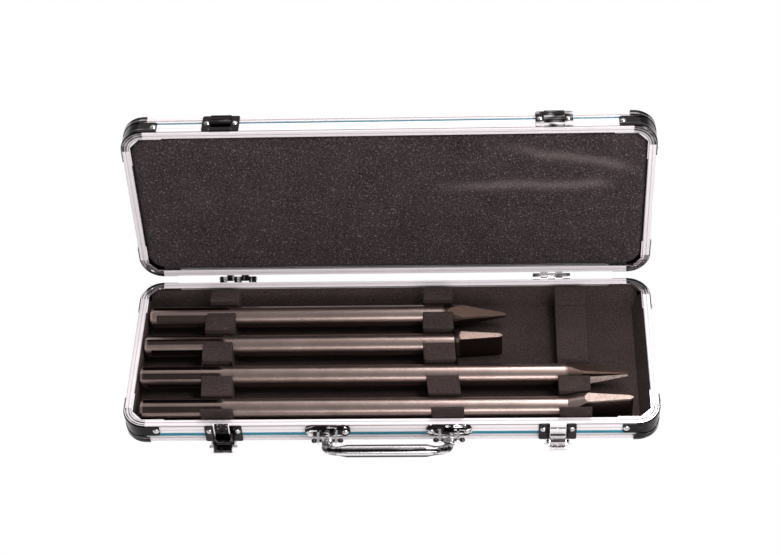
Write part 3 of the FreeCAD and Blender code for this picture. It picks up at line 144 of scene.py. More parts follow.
class Finish:
    """A material built around one Principled shader."""

    def __init__(self, name, **sockets):
        self.material = bpy.data.materials.new(name)
        self.material.use_nodes = True
        self.tree = self.material.node_tree
        self.shader = self.tree.nodes["Principled BSDF"]
        self.set(**sockets)

    def node(self, kind, *inputs, out=0, named=None, **settings):
        """Add a node of a type, apply its settings, then feed its inputs in order or by name."""
        made = self.tree.nodes.new(f"ShaderNode{kind}")
        for key, value in settings.items():
            setattr(made, key, value)
        for index, value in [*enumerate(inputs), *(named or {}).items()]:
            self._feed(made.inputs[index], value)
        return Value(self, made.outputs[out])

    def _feed(self, socket, value):
        """Link a value to a socket, or set the socket to a number, vector or colour."""
        if isinstance(value, Value):
            self.tree.links.new(value.socket, socket)
        elif socket.type == "RGBA":
            socket.default_value = (*value, 1.0)
        else:
            socket.default_value = value

    def set(self, **sockets):
        """Set or link sockets of the shader, named with underscores for spaces."""
        for name, value in sockets.items():
            self._feed(self.shader.inputs[name.replace("_", " ")], value)

    def place(self):
        """Object coordinates."""
        return self.node("TexCoord", out=3)

    def axes(self):
        """The three Object coordinates as separate values."""
        split = self.node("SeparateXYZ", self.place())
        return [Value(self, socket) for socket in split.socket.node.outputs]

    def along(self, direction, origin=(0.0, 0.0, 0.0)):
        """Distance from an origin along a unit direction, in metres."""
        offset = sum(a * b for a, b in zip(direction, origin))
        run = self.node("VectorMath", self.place(), direction, operation="DOT_PRODUCT", out=1)
        return run - offset

    def stretched(self, along, factor):
        """Object coordinates squeezed by a factor along one direction, for drawn-out grain."""
        place = self.place()
        run = self.node("VectorMath", place, along, operation="DOT_PRODUCT", out=1)
        back = self.node("VectorMath", along, operation="SCALE", named={3: run * (1.0 - factor)})
        return self.node("VectorMath", place, back, operation="SUBTRACT")

    def noise(self, place=None, scale=100.0, detail=3.0, roughness=0.5):
        """Fractal noise from 0 to 1 about 0.5."""
        place = place or self.place()
        return self.node("TexNoise", place, named={2: scale, 3: detail, 4: roughness})

    def mix(self, share, low, high):
        """Blend two colours by a share."""
        return self.node("Mix", data_type="RGBA", out=2, named={0: share, 6: low, 7: high})

    def bump(self, height, distance, strength):
        """Raise the surface by a height from 0 to 1 times a distance in metres."""
        self.set(Normal=self.node("Bump", strength, distance, named={"Height": height}))


def srgb(red, green, blue):
    """Linear colour of an 8-bit display colour."""
    share = np.array([red, green, blue]) / 255.0
    linear = np.where(share <= 0.04045, share / 12.92, ((share + 0.055) / 1.055) ** 2.4)
    return tuple(float(v) for v in linear)


def dress(finish, *names):
    """Give CAD nodes one finish."""
    for name in names:
        slots = nodes[name].data.materials
        slots.clear()
        slots.append(finish.material)


def drawn_aluminium(name, along, into, origin, depth):
    """Satin extruded aluminium: die lines along the rail, clouds, and painted shade in its
    grooves.

    A groove's painted shade lies at a height above the tray's outer face; the origin is at the
    rim, one depth in.
    """
    finish = Finish(name, Metallic=0.06, Specular_IOR_Level=0.5)
    lines = finish.noise(finish.stretched(along, 0.004), 700.0, 4.0, 0.7)
    broad = finish.noise(finish.stretched(along, 0.01), 260.0, 2.0)
    clouds = finish.noise(scale=45.0)
    rise = finish.along(into, origin) + depth
    # painted shade: dark lines where the grooves and the rim's edge fall into shadow
    groove_shade = rise.lines(
        (depth - 0.0012, 0.0006, 1.0),
        (0.0052, 0.0006, 0.7),
        (0.0145, 0.0004, 0.4),
        (0.0021, 0.0004, 0.35),
    )
    tone = lines * 0.7 + broad * 0.5 + clouds * 0.15 - 0.18
    body = finish.mix(tone, srgb(204, 193, 197), srgb(252, 246, 248))
    finish.set(
        Base_Color=finish.mix(groove_shade * 0.9, body, srgb(70, 58, 62)),
        Roughness=0.34 + lines * 0.14 + clouds * 0.06,
    )
    finish.bump(lines, 0.00008, 0.5)
    return finish


def polished_chrome(name, dark, bright, scuffs=1.0):
    """Bright plating over pressed steel, with faint ripples and fine handling scuffs."""
    finish = Finish(name, Metallic=1.0)
    waves = finish.noise(scale=120.0, detail=2.0)
    scratch = finish.noise(finish.stretched((0.8, 0.6, 0.0), 0.05), 1800.0, 3.0)
    worn = scratch.above(0.62, 0.12) * scuffs
    finish.set(
        Base_Color=finish.mix(waves, dark, bright),
        Roughness=0.08 + waves * 0.06 + worn * 0.22,
    )
    finish.bump(waves, 0.0002, 0.35)
    return finish


def arced_chrome(name, up, origin, half_x, half_y, radius, outer):
    """Pressed chrome corner: painted dark reflections in arcs that run round the corner's own
    centre.

    The outermost arc has a half width of its own.
    """
    finish = polished_chrome(name, srgb(176, 168, 171), srgb(248, 243, 245), 0.5)
    over_x = (abs(finish.axes()[0]) - (half_x - radius)).or_more(0.0)
    over_y = (abs(finish.along(up, origin)) - (half_y - radius)).or_more(0.0)
    spread = (over_x * over_x + over_y * over_y).root()
    # painted reflection: dark arcs that run round the corner
    painted_reflection_arcs = spread.lines(
        (radius - 0.0012, outer, 1.0),
        (radius - 0.0036, 0.0006, 1.0),
        (radius - 0.0054, 0.0004, 0.8),
    )
    wave = finish.noise(scale=150.0, detail=1.0).above(0.45, 0.3)
    finish.set(
        Base_Color=finish.mix(painted_reflection_arcs * (wave * 0.25 + 0.75), srgb(226, 219, 222), srgb(26, 21, 23))
    )
    return finish


def banded_chrome(name, direction, scale, dark, bright, share):
    """Plated pressing painted dark as a reflection of the dark room, with bright painted
    reflections in bands across a direction.
    """
    finish = polished_chrome(name, dark, bright)
    run = finish.along(direction)
    band = finish.node("TexNoise", noise_dimensions="1D", named={"W": run, "Scale": scale})
    wobble = finish.noise(scale=90.0, detail=1.0)
    # painted reflection: bright bands over a body painted dark
    painted_glint = (band + (wobble - 0.5) * 0.3).above(share, 0.12)
    finish.set(Base_Color=finish.mix(painted_glint, dark, bright))
    return finish


def laminate():
    """Teal laminated board with a fine pebbled face and slight mottling."""
    finish = Finish("teal_laminate", Specular_IOR_Level=0.45)
    pebble = finish.node("TexVoronoi", finish.place(), named={2: 900.0})
    mottle = finish.noise(scale=80.0, detail=4.0)
    finish.set(
        Base_Color=finish.mix(mottle, srgb(0, 106, 128), srgb(4, 134, 154)),
        Roughness=0.34 + mottle * 0.12,
    )
    finish.bump(pebble, 0.00008, 0.5)
    return finish


def closed_cell_foam(name, dark, bright, grain, flecks, scuffed=None):
    """Dark foam: fine pores, pale flecks between them, and a soft dull face.

    Scuffed takes the finish and gives the mask of the places where the face is rubbed hazy.
    """
    finish = Finish(name, Specular_IOR_Level=0.2, Roughness=0.95)
    cells = finish.noise(scale=950.0 / grain, detail=2.0, roughness=0.75)
    fine = finish.noise(scale=2200.0 / grain, detail=2.0, roughness=0.7)
    cloud = finish.noise(scale=34.0, detail=3.0)
    dust = finish.noise(scale=760.0 / grain, detail=3.0, roughness=0.85).above(0.62, 0.12)
    tone = (cells - 0.5) * 1.9 + (fine - 0.5) * 0.8 + (cloud - 0.5) * 0.4 + 0.45
    body = finish.mix(tone, dark, bright)
    colour = finish.mix(dust * flecks, body, srgb(126, 116, 122))
    if scuffed:
        haze = scuffed(finish) * (0.1 + cells * 0.28)
        colour = finish.mix(haze, colour, srgb(150, 134, 134))
    finish.set(Base_Color=colour)
    finish.bump(cells + fine * 0.5, 0.0005 * grain, 0.7)
    return finish


SHANK, SHANK_CHAMFER, KEYWAY_REACH = 0.09, 0.002, 0.00855


def forged_steel(name, forged, upper_painted_tone, under, lean, rise, shine):
    """Satin steel with a drawn grain, painted shade in the keyways, and a coarser forged skin at
    the tip.

    The forged skin is a length of the tip in metres: scale pits over the upper face's painted
    tone, lit on the flat chisels and shaded on the point chisels. Below a line it has another
    tone and shine, the lower face's painted tone, shaded except on the long point chisel, where
    it is lit.
    The line leans by a slope from the back down to the front, and passes the chisel's axis at a
    height in metres. A keyway is where the shank's face lies nearer to the axis than its round
    part.
    """
    finish = Finish(name)
    low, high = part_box(name)
    x_place, y_place, z_place = finish.axes()
    off_y, off_z = y_place - (low.y + high.y) / 2, z_place - (low.z + high.z) / 2
    reach = (off_y * off_y + off_z * off_z).root()
    keyway = reach.below(KEYWAY_REACH, 0.0006) * x_place.below(low.x + SHANK, 0.001)
    keyway = keyway * x_place.above(low.x + SHANK_CHAMFER, 0.001)
    grain = finish.noise(finish.stretched(ALONG_X, 0.45), 1000.0, 4.0, 0.65)
    patches = finish.noise(scale=70.0, detail=4.0)
    pits = finish.noise(scale=620.0, detail=4.0, roughness=0.7)
    hammered = (x_place + (patches - 0.5) * 0.008).above(high.x - forged, 0.004)
    tone = grain * 0.45 + patches * 0.55
    plain = finish.mix(tone, srgb(122, 103, 98), srgb(180, 160, 154))
    # painted shade in the keyways
    plain = finish.mix(keyway * 0.85, plain, srgb(44, 34, 31))
    # forged scale pits over the upper face's painted light and shade
    rough = finish.mix((pits - 0.5) * 1.3 + 0.68, srgb(58, 45, 39), upper_painted_tone)
    # the tip's lower face, below a leaning line, with its own painted light and shade
    below = (off_z + off_y * lean).below(rise, 0.0004) * hammered
    lower_scale_and_painted_tone = finish.mix((pits - 0.5) * 3.0 + 0.8, srgb(74, 58, 51), under)
    rough = finish.mix(below, rough, lower_scale_and_painted_tone)
    finish.set(
        Base_Color=finish.mix(hammered, plain, rough),
        Roughness=0.26 + grain * 0.07 + hammered * pits * 0.22,
        Metallic=1.0 - below * (1.0 - shine),
    )
    height = grain * (1.0 - hammered) * 0.1 + hammered * pits
    finish.bump(height, 0.0004, 0.5)
    return finish


def lined_chrome(node, direction, lines, flank, metallic):
    """Plating with painted reflections: the room as dark lines across a direction, and plain
    bright flanks.

    Each line has its place along the direction and its half width, in metres, and its strength;
    the flank is the share of the half length at which the lines end.
    """
    finish = polished_chrome(f"{node}_chrome", srgb(236, 230, 232), srgb(250, 246, 248))
    low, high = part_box(node)
    across = abs(finish.axes()[0] - (low.x + high.x) / 2) / ((high.x - low.x) / 2)
    wobble = finish.noise(scale=420.0, detail=2.0).below(0.62, 0.16)
    # painted reflection: dark lines of the room across the part, bright flanks beside them
    shade = finish.along(direction).lines(*lines) * across.below(flank, 0.12)
    shade = shade * (wobble * 0.6 + 0.9)
    finish.set(
        Base_Color=finish.mix(shade, srgb(240, 235, 237), srgb(32, 26, 28)), Metallic=metallic
    )
    return finish


BRACKET_EAR, GRIP_RADIUS = 0.0048, 0.005


def bracket_chrome():
    """Handle bracket: a painted dark reflection of the room on the plate, painted highlights on
    its standing ears.
    """
    finish = polished_chrome("bracket_chrome", srgb(150, 144, 146), srgb(246, 242, 244))
    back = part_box("handle_left_bracket")[1].y
    # painted reflection: the plate dark, the standing ears and scattered glints bright
    painted_bright_ears = finish.axes()[1].below(back - BRACKET_EAR, 0.0004)
    painted_glint = finish.noise(finish.stretched(ALONG_X, 0.3), 420.0, 2.0).above(0.6, 0.08)
    finish.set(
        Base_Color=finish.mix(painted_bright_ears.or_more(painted_glint), srgb(34, 29, 31), srgb(244, 240, 242))
    )
    return finish


def handle_chrome():
    """Handle plating: painted reflections as dark outlines above and below the grip and one dull
    band between them, darker in patches at the bends.
    """
    finish = polished_chrome("handle_chrome", srgb(236, 230, 232), srgb(250, 246, 248))
    low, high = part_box("handle")
    facing = (0.0, math.sin(CAMERA_RISE), math.cos(CAMERA_RISE))
    rise = finish.along(facing, (0.0, low.y + GRIP_RADIUS, high.z - GRIP_RADIUS))
    streak = finish.noise(finish.stretched(ALONG_X, 0.12), 260.0, 2.0)
    # painted reflection: dark lines and a dull band across the grip, seen from the camera's side
    shade = rise.lines(
        (-0.0043, 0.0011, 1.3),
        (0.0048, 0.0006, 1.0),
        (0.0009, 0.0018, streak.above(0.42, 0.2) * 0.5 + 0.65),
    )
    bends = abs(finish.axes()[0] - (low.x + high.x) / 2).above((high.x - low.x) * 0.34, 0.004)
    painted_bend_darkening = finish.noise(scale=300.0, detail=2.0).above(0.5, 0.2) * bends * 0.55
    finish.set(
        Base_Color=finish.mix(shade + painted_bend_darkening, srgb(240, 235, 237), srgb(20, 15, 17)), Metallic=0.75
    )
    return finish


SCUFFS = ((0.105, 0.192, 0.0545, 0.21), (0.055, 0.175, 0.0185, 0.0))


def lid_scuffs(finish):
    """Two long rubbed streaks on the lid's foam.

    Each has its left and right end, its height above the middle of the pad at the left end, and
    its slope down to the right.
    """
    x_place = finish.axes()[0]
    rise = finish.along(LID_UP, box_centre("lid_foam"))
    wander = (finish.noise(scale=26.0, detail=1.0) - 0.5) * 0.008
    mask = 0.0
    for start, end, height, slope in SCUFFS:
        line = rise + wander - (height - (x_place - start) * slope)
        run = x_place.above(start, 0.06) * x_place.below(end, 0.03)
        mask = line.near(0.0, 0.0045) * run + mask
    return mask


def dress_trays():
    """Rails, boards, corners and caps of the base and the lid, which share their finishes."""
    teal = laminate()
    tray_right, tray_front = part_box("base_right_rim")[1].x, -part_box("base_front_rim")[0].y
    corner = tray_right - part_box("base_front_rim")[1].x
    for tray, across, into, origin, middle, outer in (
        ("base", ALONG_Y, UP, BASE_ORIGIN, BASE_ORIGIN, 0.0007),
        ("lid", LID_UP, LID_IN, LID_ORIGIN, box_centre("lid_panel"), 0.0015),
    ):
        for way, along, sides in (
            ("lengthwise", ALONG_X, ("front", "back")),
            ("crosswise", across, ("left", "right")),
        ):
            rail = drawn_aluminium(f"{tray}_rails_{way}", along, into, origin, RIM_RISE)
            for side in sides:
                dress(rail, f"{tray}_{side}_rim", f"{tray}_{side}_edge")
        boards = ("front_board", "back_board", "end_boards", "panel")
        dress(teal, *(f"{tray}_{board}" for board in boards))
        arced = arced_chrome(
            f"{tray}_corner_painted_reflections", across, middle, tray_right, tray_front, corner, outer
        )
        dress(arced, f"{tray}_rim_corners")
        # corner caps: a painted dark reflection with bright painted reflected bands
        cap = banded_chrome(
            f"{tray}_cap_painted_reflections", into, 300.0, srgb(38, 34, 35), srgb(168, 162, 164), 0.66
        )
        dress(cap, f"{tray}_corner_caps")


def dress_fittings():
    """Rivets, pins, hinges, latches and the handle."""
    rivet = polished_chrome("rivet_chrome", srgb(150, 144, 146), srgb(240, 236, 238))
    # latch plates painted near black: a painted reflection of the dark room in their chrome
    plate = polished_chrome("latch_plate_painted_dark_reflection", srgb(24, 20, 21), srgb(66, 60, 62))
    # painted reflections in bands: the left hinge leaves get a shaded copy, the right leaves and
    # pins a lit one
    lit_banded_chrome = banded_chrome(
        "fitting_chrome", UP, 420.0, srgb(70, 64, 66), srgb(244, 240, 242), 0.5
    )
    shaded_banded_chrome = banded_chrome(
        "left_hinge_painted_shade", ALONG_X, 260.0, srgb(40, 35, 37), srgb(240, 236, 238), 0.6
    )
    dress(rivet, "base_corner_rivets", "base_fitting_rivets", "lid_rivets")
    dress(lit_banded_chrome, "handle_pins", "hinge_pins", "latch_pivot_pins")
    dress(handle_chrome(), "handle")
    dress(bracket_chrome(), "handle_left_bracket", "handle_right_bracket")
    # left and right keepers are shaded and lit copies of one plating, with painted reflection
    # bands
    for side, leaf, bright, share in (
        ("left", shaded_banded_chrome, srgb(200, 194, 196), 0.63),
        ("right", lit_banded_chrome, srgb(236, 230, 232), 0.55),
    ):
        keeper = banded_chrome(f"{side}_keeper", UP, 520.0, srgb(34, 29, 30), bright, share)
        dress(leaf, f"hinge_{side}_base_leaf", f"hinge_{side}_lid_leaf")
        dress(plate, f"latch_{side}_plate")
        dress(keeper, f"latch_{side}_keeper")
    # painted reflections on the latches: the left latch is a shaded copy, the right a lit copy of
    # one plating
    left_hook = ((0.0175, 0.02, 1.0),)
    left_lever = ((-0.0885, 0.0055, 1.0),)
    right_hook = ((0.0231, 0.0008, 1.0), (0.0142, 0.0013, 1.0), (0.0088, 0.001, 1.0))
    right_lever = ((-0.083, 0.0016, 1.0), (-0.0898, 0.0005, 1.0))
    for node, direction, lines, flank, metallic in (
        ("latch_left_hook", UP, left_hook, 0.86, 1.0),
        ("latch_left_lever", ALONG_Y, left_lever, 0.66, 0.8),
        ("latch_right_hook", UP, right_hook, 0.95, 0.55),
        ("latch_right_lever", ALONG_Y, right_lever, 0.68, 0.55),
    ):
        dress(lined_chrome(node, direction, lines, flank, metallic), node)


def dress_chisels():
    """The four chisels, each with the length of its own forged skin and the painted light and
    shade of its tip's faces.
    """
    # tip tones: painted light on lit faces, painted shade on shaded ones
    deep, dark = srgb(56, 45, 41), srgb(88, 72, 66)
    dull, warm, pale = srgb(186, 166, 158), srgb(206, 178, 167), srgb(222, 201, 192)
    for name, forged, upper_painted_tone, under, lean, rise, shine in (
        ("short_point_chisel", 0.052, deep, dark, 0.44, 0.0, 1.0),
        ("short_flat_chisel", 0.036, warm, dark, 0.0, 0.0105, 1.0),
        ("long_point_chisel", 0.05, dark, pale, 0.6, 0.0, 0.25),
        ("long_flat_chisel", 0.038, dull, dark, 0.0, 0.0105, 1.0),
    ):
        dress(forged_steel(name, forged, upper_painted_tone, under, lean, rise, shine), name)


dress_trays()
dress_fittings()
dress_chisels()
foam = closed_cell_foam("rack_foam", srgb(26, 18, 17), srgb(71, 58, 56), 1.0, 0.2)
lid_pad_foam = closed_cell_foam(
    "lid_pad_foam", srgb(6, 2, 3), srgb(78, 65, 66), 1.1, 1.0, lid_scuffs
)

# ------------------------------------------------------------------ foam pieces


def mesh_piece(name, points, faces, finish, body):
    """A smooth mesh object that faces outwards, with a finish, a body and a material slot."""
    mesh = bpy.data.meshes.new(name)
    mesh.from_pydata(points.tolist(), [], faces)
    mesh.validate()
    shell = bmesh.new()
    shell.from_mesh(mesh)
    bmesh.ops.recalc_face_normals(shell, faces=shell.faces)
    shell.to_mesh(mesh)
    shell.free()
    mesh.shade_smooth()
    mesh.materials.append(finish.material)
    piece = bpy.data.objects.new(name, mesh)
    scene.collection.objects.link(piece)
    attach(piece, body)
    return piece


def ripple(points, size, pitch, seed):
    """A gentle unevenness, size * sin(a + u) * cos(b + v) * sin(c + w).

    Here a, b and c are slanted coordinates over the pitch, and u, v and w are seeded phases.
    """
    turn = np.random.default_rng(seed).uniform(0.0, 2.0 * np.pi, 3)
    phase = points @ np.array([[1.0, 0.4, -0.3], [-0.5, 1.0, 0.6], [0.3, -0.7, 1.0]]) / pitch
    first, second, third = (phase + turn).T
    return size * np.sin(first) * np.cos(second) * np.sin(third)


def round_corners(outline, radius, steps=4):
    """Replace each corner c of a closed outline by (1-t)^2 a + 2t(1-t) c + t^2 b.

    The ends a and b lie a radius from the corner, or 0.45 of its side if that is less.
    """
    outline = np.asarray(outline, float)
    back = np.roll(outline, 1, axis=0) - outline
    ahead = np.roll(outline, -1, axis=0) - outline
    back_length = np.linalg.norm(back, axis=1, keepdims=True)
    ahead_length = np.linalg.norm(ahead, axis=1, keepdims=True)
    start = outline + back / back_length * np.minimum(radius, back_length * 0.45)
    end = outline + ahead / ahead_length * np.minimum(radius, ahead_length * 0.45)
    share = np.linspace(0.0, 1.0, steps)[None, :, None]
    curve = (
        (1 - share) ** 2 * start[:, None]
        + 2 * share * (1 - share) * outline[:, None]
        + share**2 * end[:, None]
    )
    return curve.reshape(-1, 2)


def inward(outline):
    """Unit normals that point into an outline drawn anticlockwise."""
    along = np.roll(outline, -1, axis=0) - np.roll(outline, 1, axis=0)
    along /= np.linalg.norm(along, axis=1, keepdims=True) + 1e-12
    return np.stack([-along[:, 1], along[:, 0]], axis=1)


STATION = 4.0


def foam_bar(name, outline, low, high, replaced=(), rounding=0.8, axis=0, seed=1, warp=None):
    """Carry an outline along an axis, drawing it in at both ends by a quarter circle.

    For an angle a from 0 to 90 degrees the outline moves inward by r(1 - sin a) at a distance
    r(1 - cos a) from the end. The outline and the ends are in millimetres; a warp moves the
    finished points.
    """
    outline = round_corners(outline, rounding * 1.5)
    normal = inward(outline)
    arc = np.linspace(0.0, np.pi / 2, 4)
    inset = rounding * (1 - np.sin(arc))
    depth = rounding * (1 - np.cos(arc))
    stations = max(4, int((high - low) / STATION))
    straight = np.linspace(low + rounding, high - rounding, stations)[1:-1]
    runs = np.concatenate([low + depth, straight, (high - depth)[::-1]])
    insets = np.concatenate([inset, np.zeros(len(straight)), inset[::-1]])
    points = np.empty((len(runs), len(outline), 3))
    points[..., axis] = runs[:, None]
    points[..., [i for i in range(3) if i != axis]] = outline + normal * insets[:, None, None]
    points = points.reshape(-1, 3)
    if warp:
        points = warp(points)
    count, rows = len(outline), len(runs)
    here = np.arange(count) + np.arange(rows - 1)[:, None] * count
    ahead = np.roll(here, -1, axis=1)
    bands = np.stack([here, ahead, ahead + count, here + count], axis=-1)
    faces = bands.reshape(-1, 4).tolist()
    faces += [list(range(count)), list(range((rows - 1) * count, rows * count))]
    points += ripple(points, 0.18, 9.0, seed)[:, None]
    piece = mesh_piece(name, points * MM, faces, foam, "base")
    if replaced:
        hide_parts(*replaced)


def span(name):
    """The two corners of a CAD node's box in millimetres."""
    return [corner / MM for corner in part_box(name)]


CHISELS = ("short_point_chisel", "short_flat_chisel", "long_point_chisel", "long_flat_chisel")
SLOTS = [box_centre(name).y / MM for name in CHISELS]
AXIS_Z = box_centre(CHISELS[0]).z / MM
SHANK_CLEARANCE = 0.22
SLOT_RADIUS = span(CHISELS[0])[1].z - AXIS_Z + SHANK_CLEARANCE
# heights of the foam's feet and tops, then places along Y, in millimetres
SHEET_FOOT, WALL_FOOT, FLOOR = 3.05, 3.1, 5.05
RACK_TOP, END_TOP, STRIP_TOP, CREST = 28.0, 30.4, 30.2, 4.0
FRONT, BACK_FOOT, RACK_BACK = -70.2, 59.2, 62.2


def slot_curve(centre, lip=0.0, steps=16):
    """A round slot's wall from its back rim down, under the shank and up to its front lip.

    The lip is how far the wall comes over the shank: it ends where cos(a) = 1 - lip / radius.
    """
    over = math.acos(1.0 - lip / SLOT_RADIUS)
    angle = -np.linspace(0.0, math.pi + over, steps)
    return [
        (centre + SLOT_RADIUS * math.cos(a), AXIS_Z + SLOT_RADIUS * math.sin(a)) for a in angle
    ]


def comb(back, blocks):
    """Comb outline in Y and Z, anticlockwise from the front foot.

    Each block in front of a slot has a lip over the shank behind it, and a height at its back
    and at its front.
    """
    outline = [(FRONT, FLOOR), *back]
    for centre, (lip, back_top, front_top) in zip(SLOTS, blocks):
        outline.append((centre + SLOT_RADIUS, outline[-1][1]))
        outline += slot_curve(centre, lip)
        rim = centre - SLOT_RADIUS
        outline += [(rim + lip, back_top), (rim - CREST, front_top)]
    outline[-1] = (FRONT, blocks[-1][2])
    return outline


RACK_STATIONS = (-70.0, -41.0, -8.0, 24.0, 59.0)


def bent(centre, shifts, widths):
    """A warp x -> centre + (x - centre) * width(y) + shift(y), as foam pressed in by hand.

    Widths and shifts run in straight lines between five stations along Y.
    """

    def warp(points):
        moved = points.copy()
        spread = np.interp(points[:, 1], RACK_STATIONS, widths)
        moved[:, 0] = centre + (points[:, 0] - centre) * spread
        moved[:, 0] += np.interp(points[:, 1], RACK_STATIONS, shifts)
        return moved

    return warp


HALF_RACK = 12.75


def long_racks():
    """The left and middle racks, one block in front of each slot, pushed out of line by hand."""
    back = [(BACK_FOOT, FLOOR), (62.0, 17.0), (RACK_BACK, RACK_TOP)]
    left = [(5.7, 28.0, 28.0), (5.6, 28.0, 27.8), (2.6, 27.8, 24.6), (0.8, END_TOP, END_TOP)]
    middle = [(4.8, 28.2, 27.6), (3.0, 28.0, 26.6), (1.0, 28.0, 25.4), (1.0, END_TOP, END_TOP)]
    left_bend = [6.4, 3.8, 1.7, 0.9, 3.4], [1.03, 1.0, 0.97, 0.93, 0.95]
    middle_bend = [9.7, 5.8, 2.3, 0.9, 0.7], [1.02, 1.03, 1.03, 1.0, 0.95]
    for side, centre, blocks, bend, seed in (
        ("left", -145.0, left, left_bend, 3),
        ("middle", 37.0, middle, middle_bend, 5),
    ):
        foam_bar(
            f"rack_{side}",
            comb(back, blocks),
            centre - HALF_RACK,
            centre + HALF_RACK,
            [f"foam_rack_{side}"],
            seed=seed,
            warp=bent(centre, *bend),
        )


def right_rack():
    """The right rack: its front slot is open to the floor, so its front strip stands alone."""
    low, high = span("foam_rack_right")
    slot_back = SLOTS[2] + SLOT_RADIUS
    block_back = slot_back + 1.4
    block_front = SLOTS[3] + SLOT_RADIUS
    strip_back = SLOTS[3] - SLOT_RADIUS
    strip = [(FRONT, FLOOR), (strip_back, FLOOR), (strip_back, STRIP_TOP), (FRONT, STRIP_TOP)]
    block = [(block_front, FLOOR), (block_back, FLOOR), (block_back, 21.0), (slot_back, 20.6)]
    block += slot_curve(SLOTS[2])
    block += [(SLOTS[2] - SLOT_RADIUS, RACK_TOP), (block_front, RACK_TOP - 0.6)]
    block += [(block_front, AXIS_Z)]
    foam_bar("rack_right_strip", strip, low.x, high.x, rounding=0.5, seed=7)
    foam_bar("rack_right", block, low.x, high.x, ["foam_rack_right"], seed=8)


def spacer_bar():
    """The bar beside the right rack, with a low bed for the shanks and a high back end."""
    low, high = span("foam_spacer_right")
    front = low.y + 0.1
    floor_line = [(front, FLOOR), (BACK_FOOT, FLOOR), (64.6, 13.5)]
    back_end = [(64.8, 24.4), (45.2, 24.2), (44.6, 21.6), (43.5, 21.0)]
    bed = [(-9.0, 21.0), (front, 18.2)]
    outline = floor_line + back_end + bed
    foam_bar("spacer_bar", outline, low.x, high.x, ["foam_spacer_right"], seed=9)


BOARD_X, BOARD_Y = 209.6, 71.6
BEND, BEND_REACH = np.array([196.5, 58.5]), 13.1
WALL_END, WEDGE_END = 206.8, 206.0


def inside_corners(points):
    """Draw points back inside the rounded corners of the tray.

    Past the bend in both X and Y, a point keeps its direction from the bend and comes no farther
    from it than the corner's radius.
    """
    moved = points.copy()
    flat = np.abs(points[:, :2])
    over = np.maximum(flat - BEND, 0.0)
    reach = np.hypot(over[:, 0], over[:, 1])
    share = np.minimum(1.0, BEND_REACH / np.maximum(reach, 1e-9))
    kept = np.minimum(flat, BEND) + over * share[:, None]
    moved[:, :2] = np.sign(points[:, :2]) * kept
    return moved


def flared_foot(points):
    """Bring the back wedge's foot forward at its right end, then round the corners.

    The foot moves 5 mm times two shares: one falls from 1 at a height of 5 mm to 0 at 18 mm, the
    other rises from 0 at X 150 mm to 1 at 200 mm.
    """
    moved = points.copy()
    low_share = np.clip((18.0 - points[:, 2]) / 13.0, 0.0, 1.0)
    right_share = np.clip((points[:, 0] - 150.0) / 50.0, 0.0, 1.0)
    moved[:, 1] -= 5.0 * low_share * right_share
    return inside_corners(moved)


def wall_foam():
    """The floor sheet, the wedge along the back and the liners of the other three walls."""
    top = span("base_wall_foam")[1].z
    sheet_left = span("base_floor_foam")[0].x
    sheet = [(-70.0, SHEET_FOOT), (60.5, SHEET_FOOT), (60.5, FLOOR), (-70.0, FLOOR)]
    foam_bar("floor_sheet", sheet, sheet_left, 201.5, ["base_floor_foam"], 0.3, seed=11)
    foot = BACK_FOOT + 0.2
    wedge = [(foot, WALL_FOOT), (BOARD_Y, WALL_FOOT), (BOARD_Y, top), (BOARD_Y - 1.2, top)]
    foam_bar("back_wedge", wedge, -BOARD_X, WEDGE_END, rounding=0.6, seed=13, warp=flared_foot)
    face = FRONT - 0.2
    front = [(-BOARD_Y, WALL_FOOT), (face, WALL_FOOT), (face, top), (-BOARD_Y, top)]
    foam_bar("front_wall", front, -BEND[0], BEND[0], rounding=0.4, seed=15)
    left = [(-BOARD_X, WALL_FOOT), (-WALL_END, WALL_FOOT), (-WALL_END, top), (-BOARD_X, top)]
    right = [(200.0, WALL_FOOT), (BOARD_X, WALL_FOOT), (BOARD_X, top), (208.3, top)]
    right += [(200.2, FLOOR)]
    for name, outline, end, replaced, rounding, seed in (
        ("left_wall", left, BACK_FOOT, (), 0.5, 17),
        ("right_wall", right, BACK_FOOT + 4.0, ["base_wall_foam"], 0.6, 19),
    ):
        foam_bar(name, outline, -BOARD_Y, end, replaced, rounding, 1, seed, inside_corners)


PAD_HALF_X, PAD_HALF_Y, PAD_CORNER, PAD_ROUNDING = 0.2083, 0.0702, 0.0165, 0.0022
PAD_FACE, PAD_BACK = 0.0011, 0.0176
PAD_COLUMNS, PAD_ROWS = 120, 44
DENTS = ((0.15, 0.046, 0.045), (0.115, 0.0185, 0.055))
DENT_DEPTH, DENT_HEIGHT = 0.0003, 0.006
LID_DEPTH, LID_BOARD, FOAM_MIDDLE = 0.0205, 0.003, 0.01125


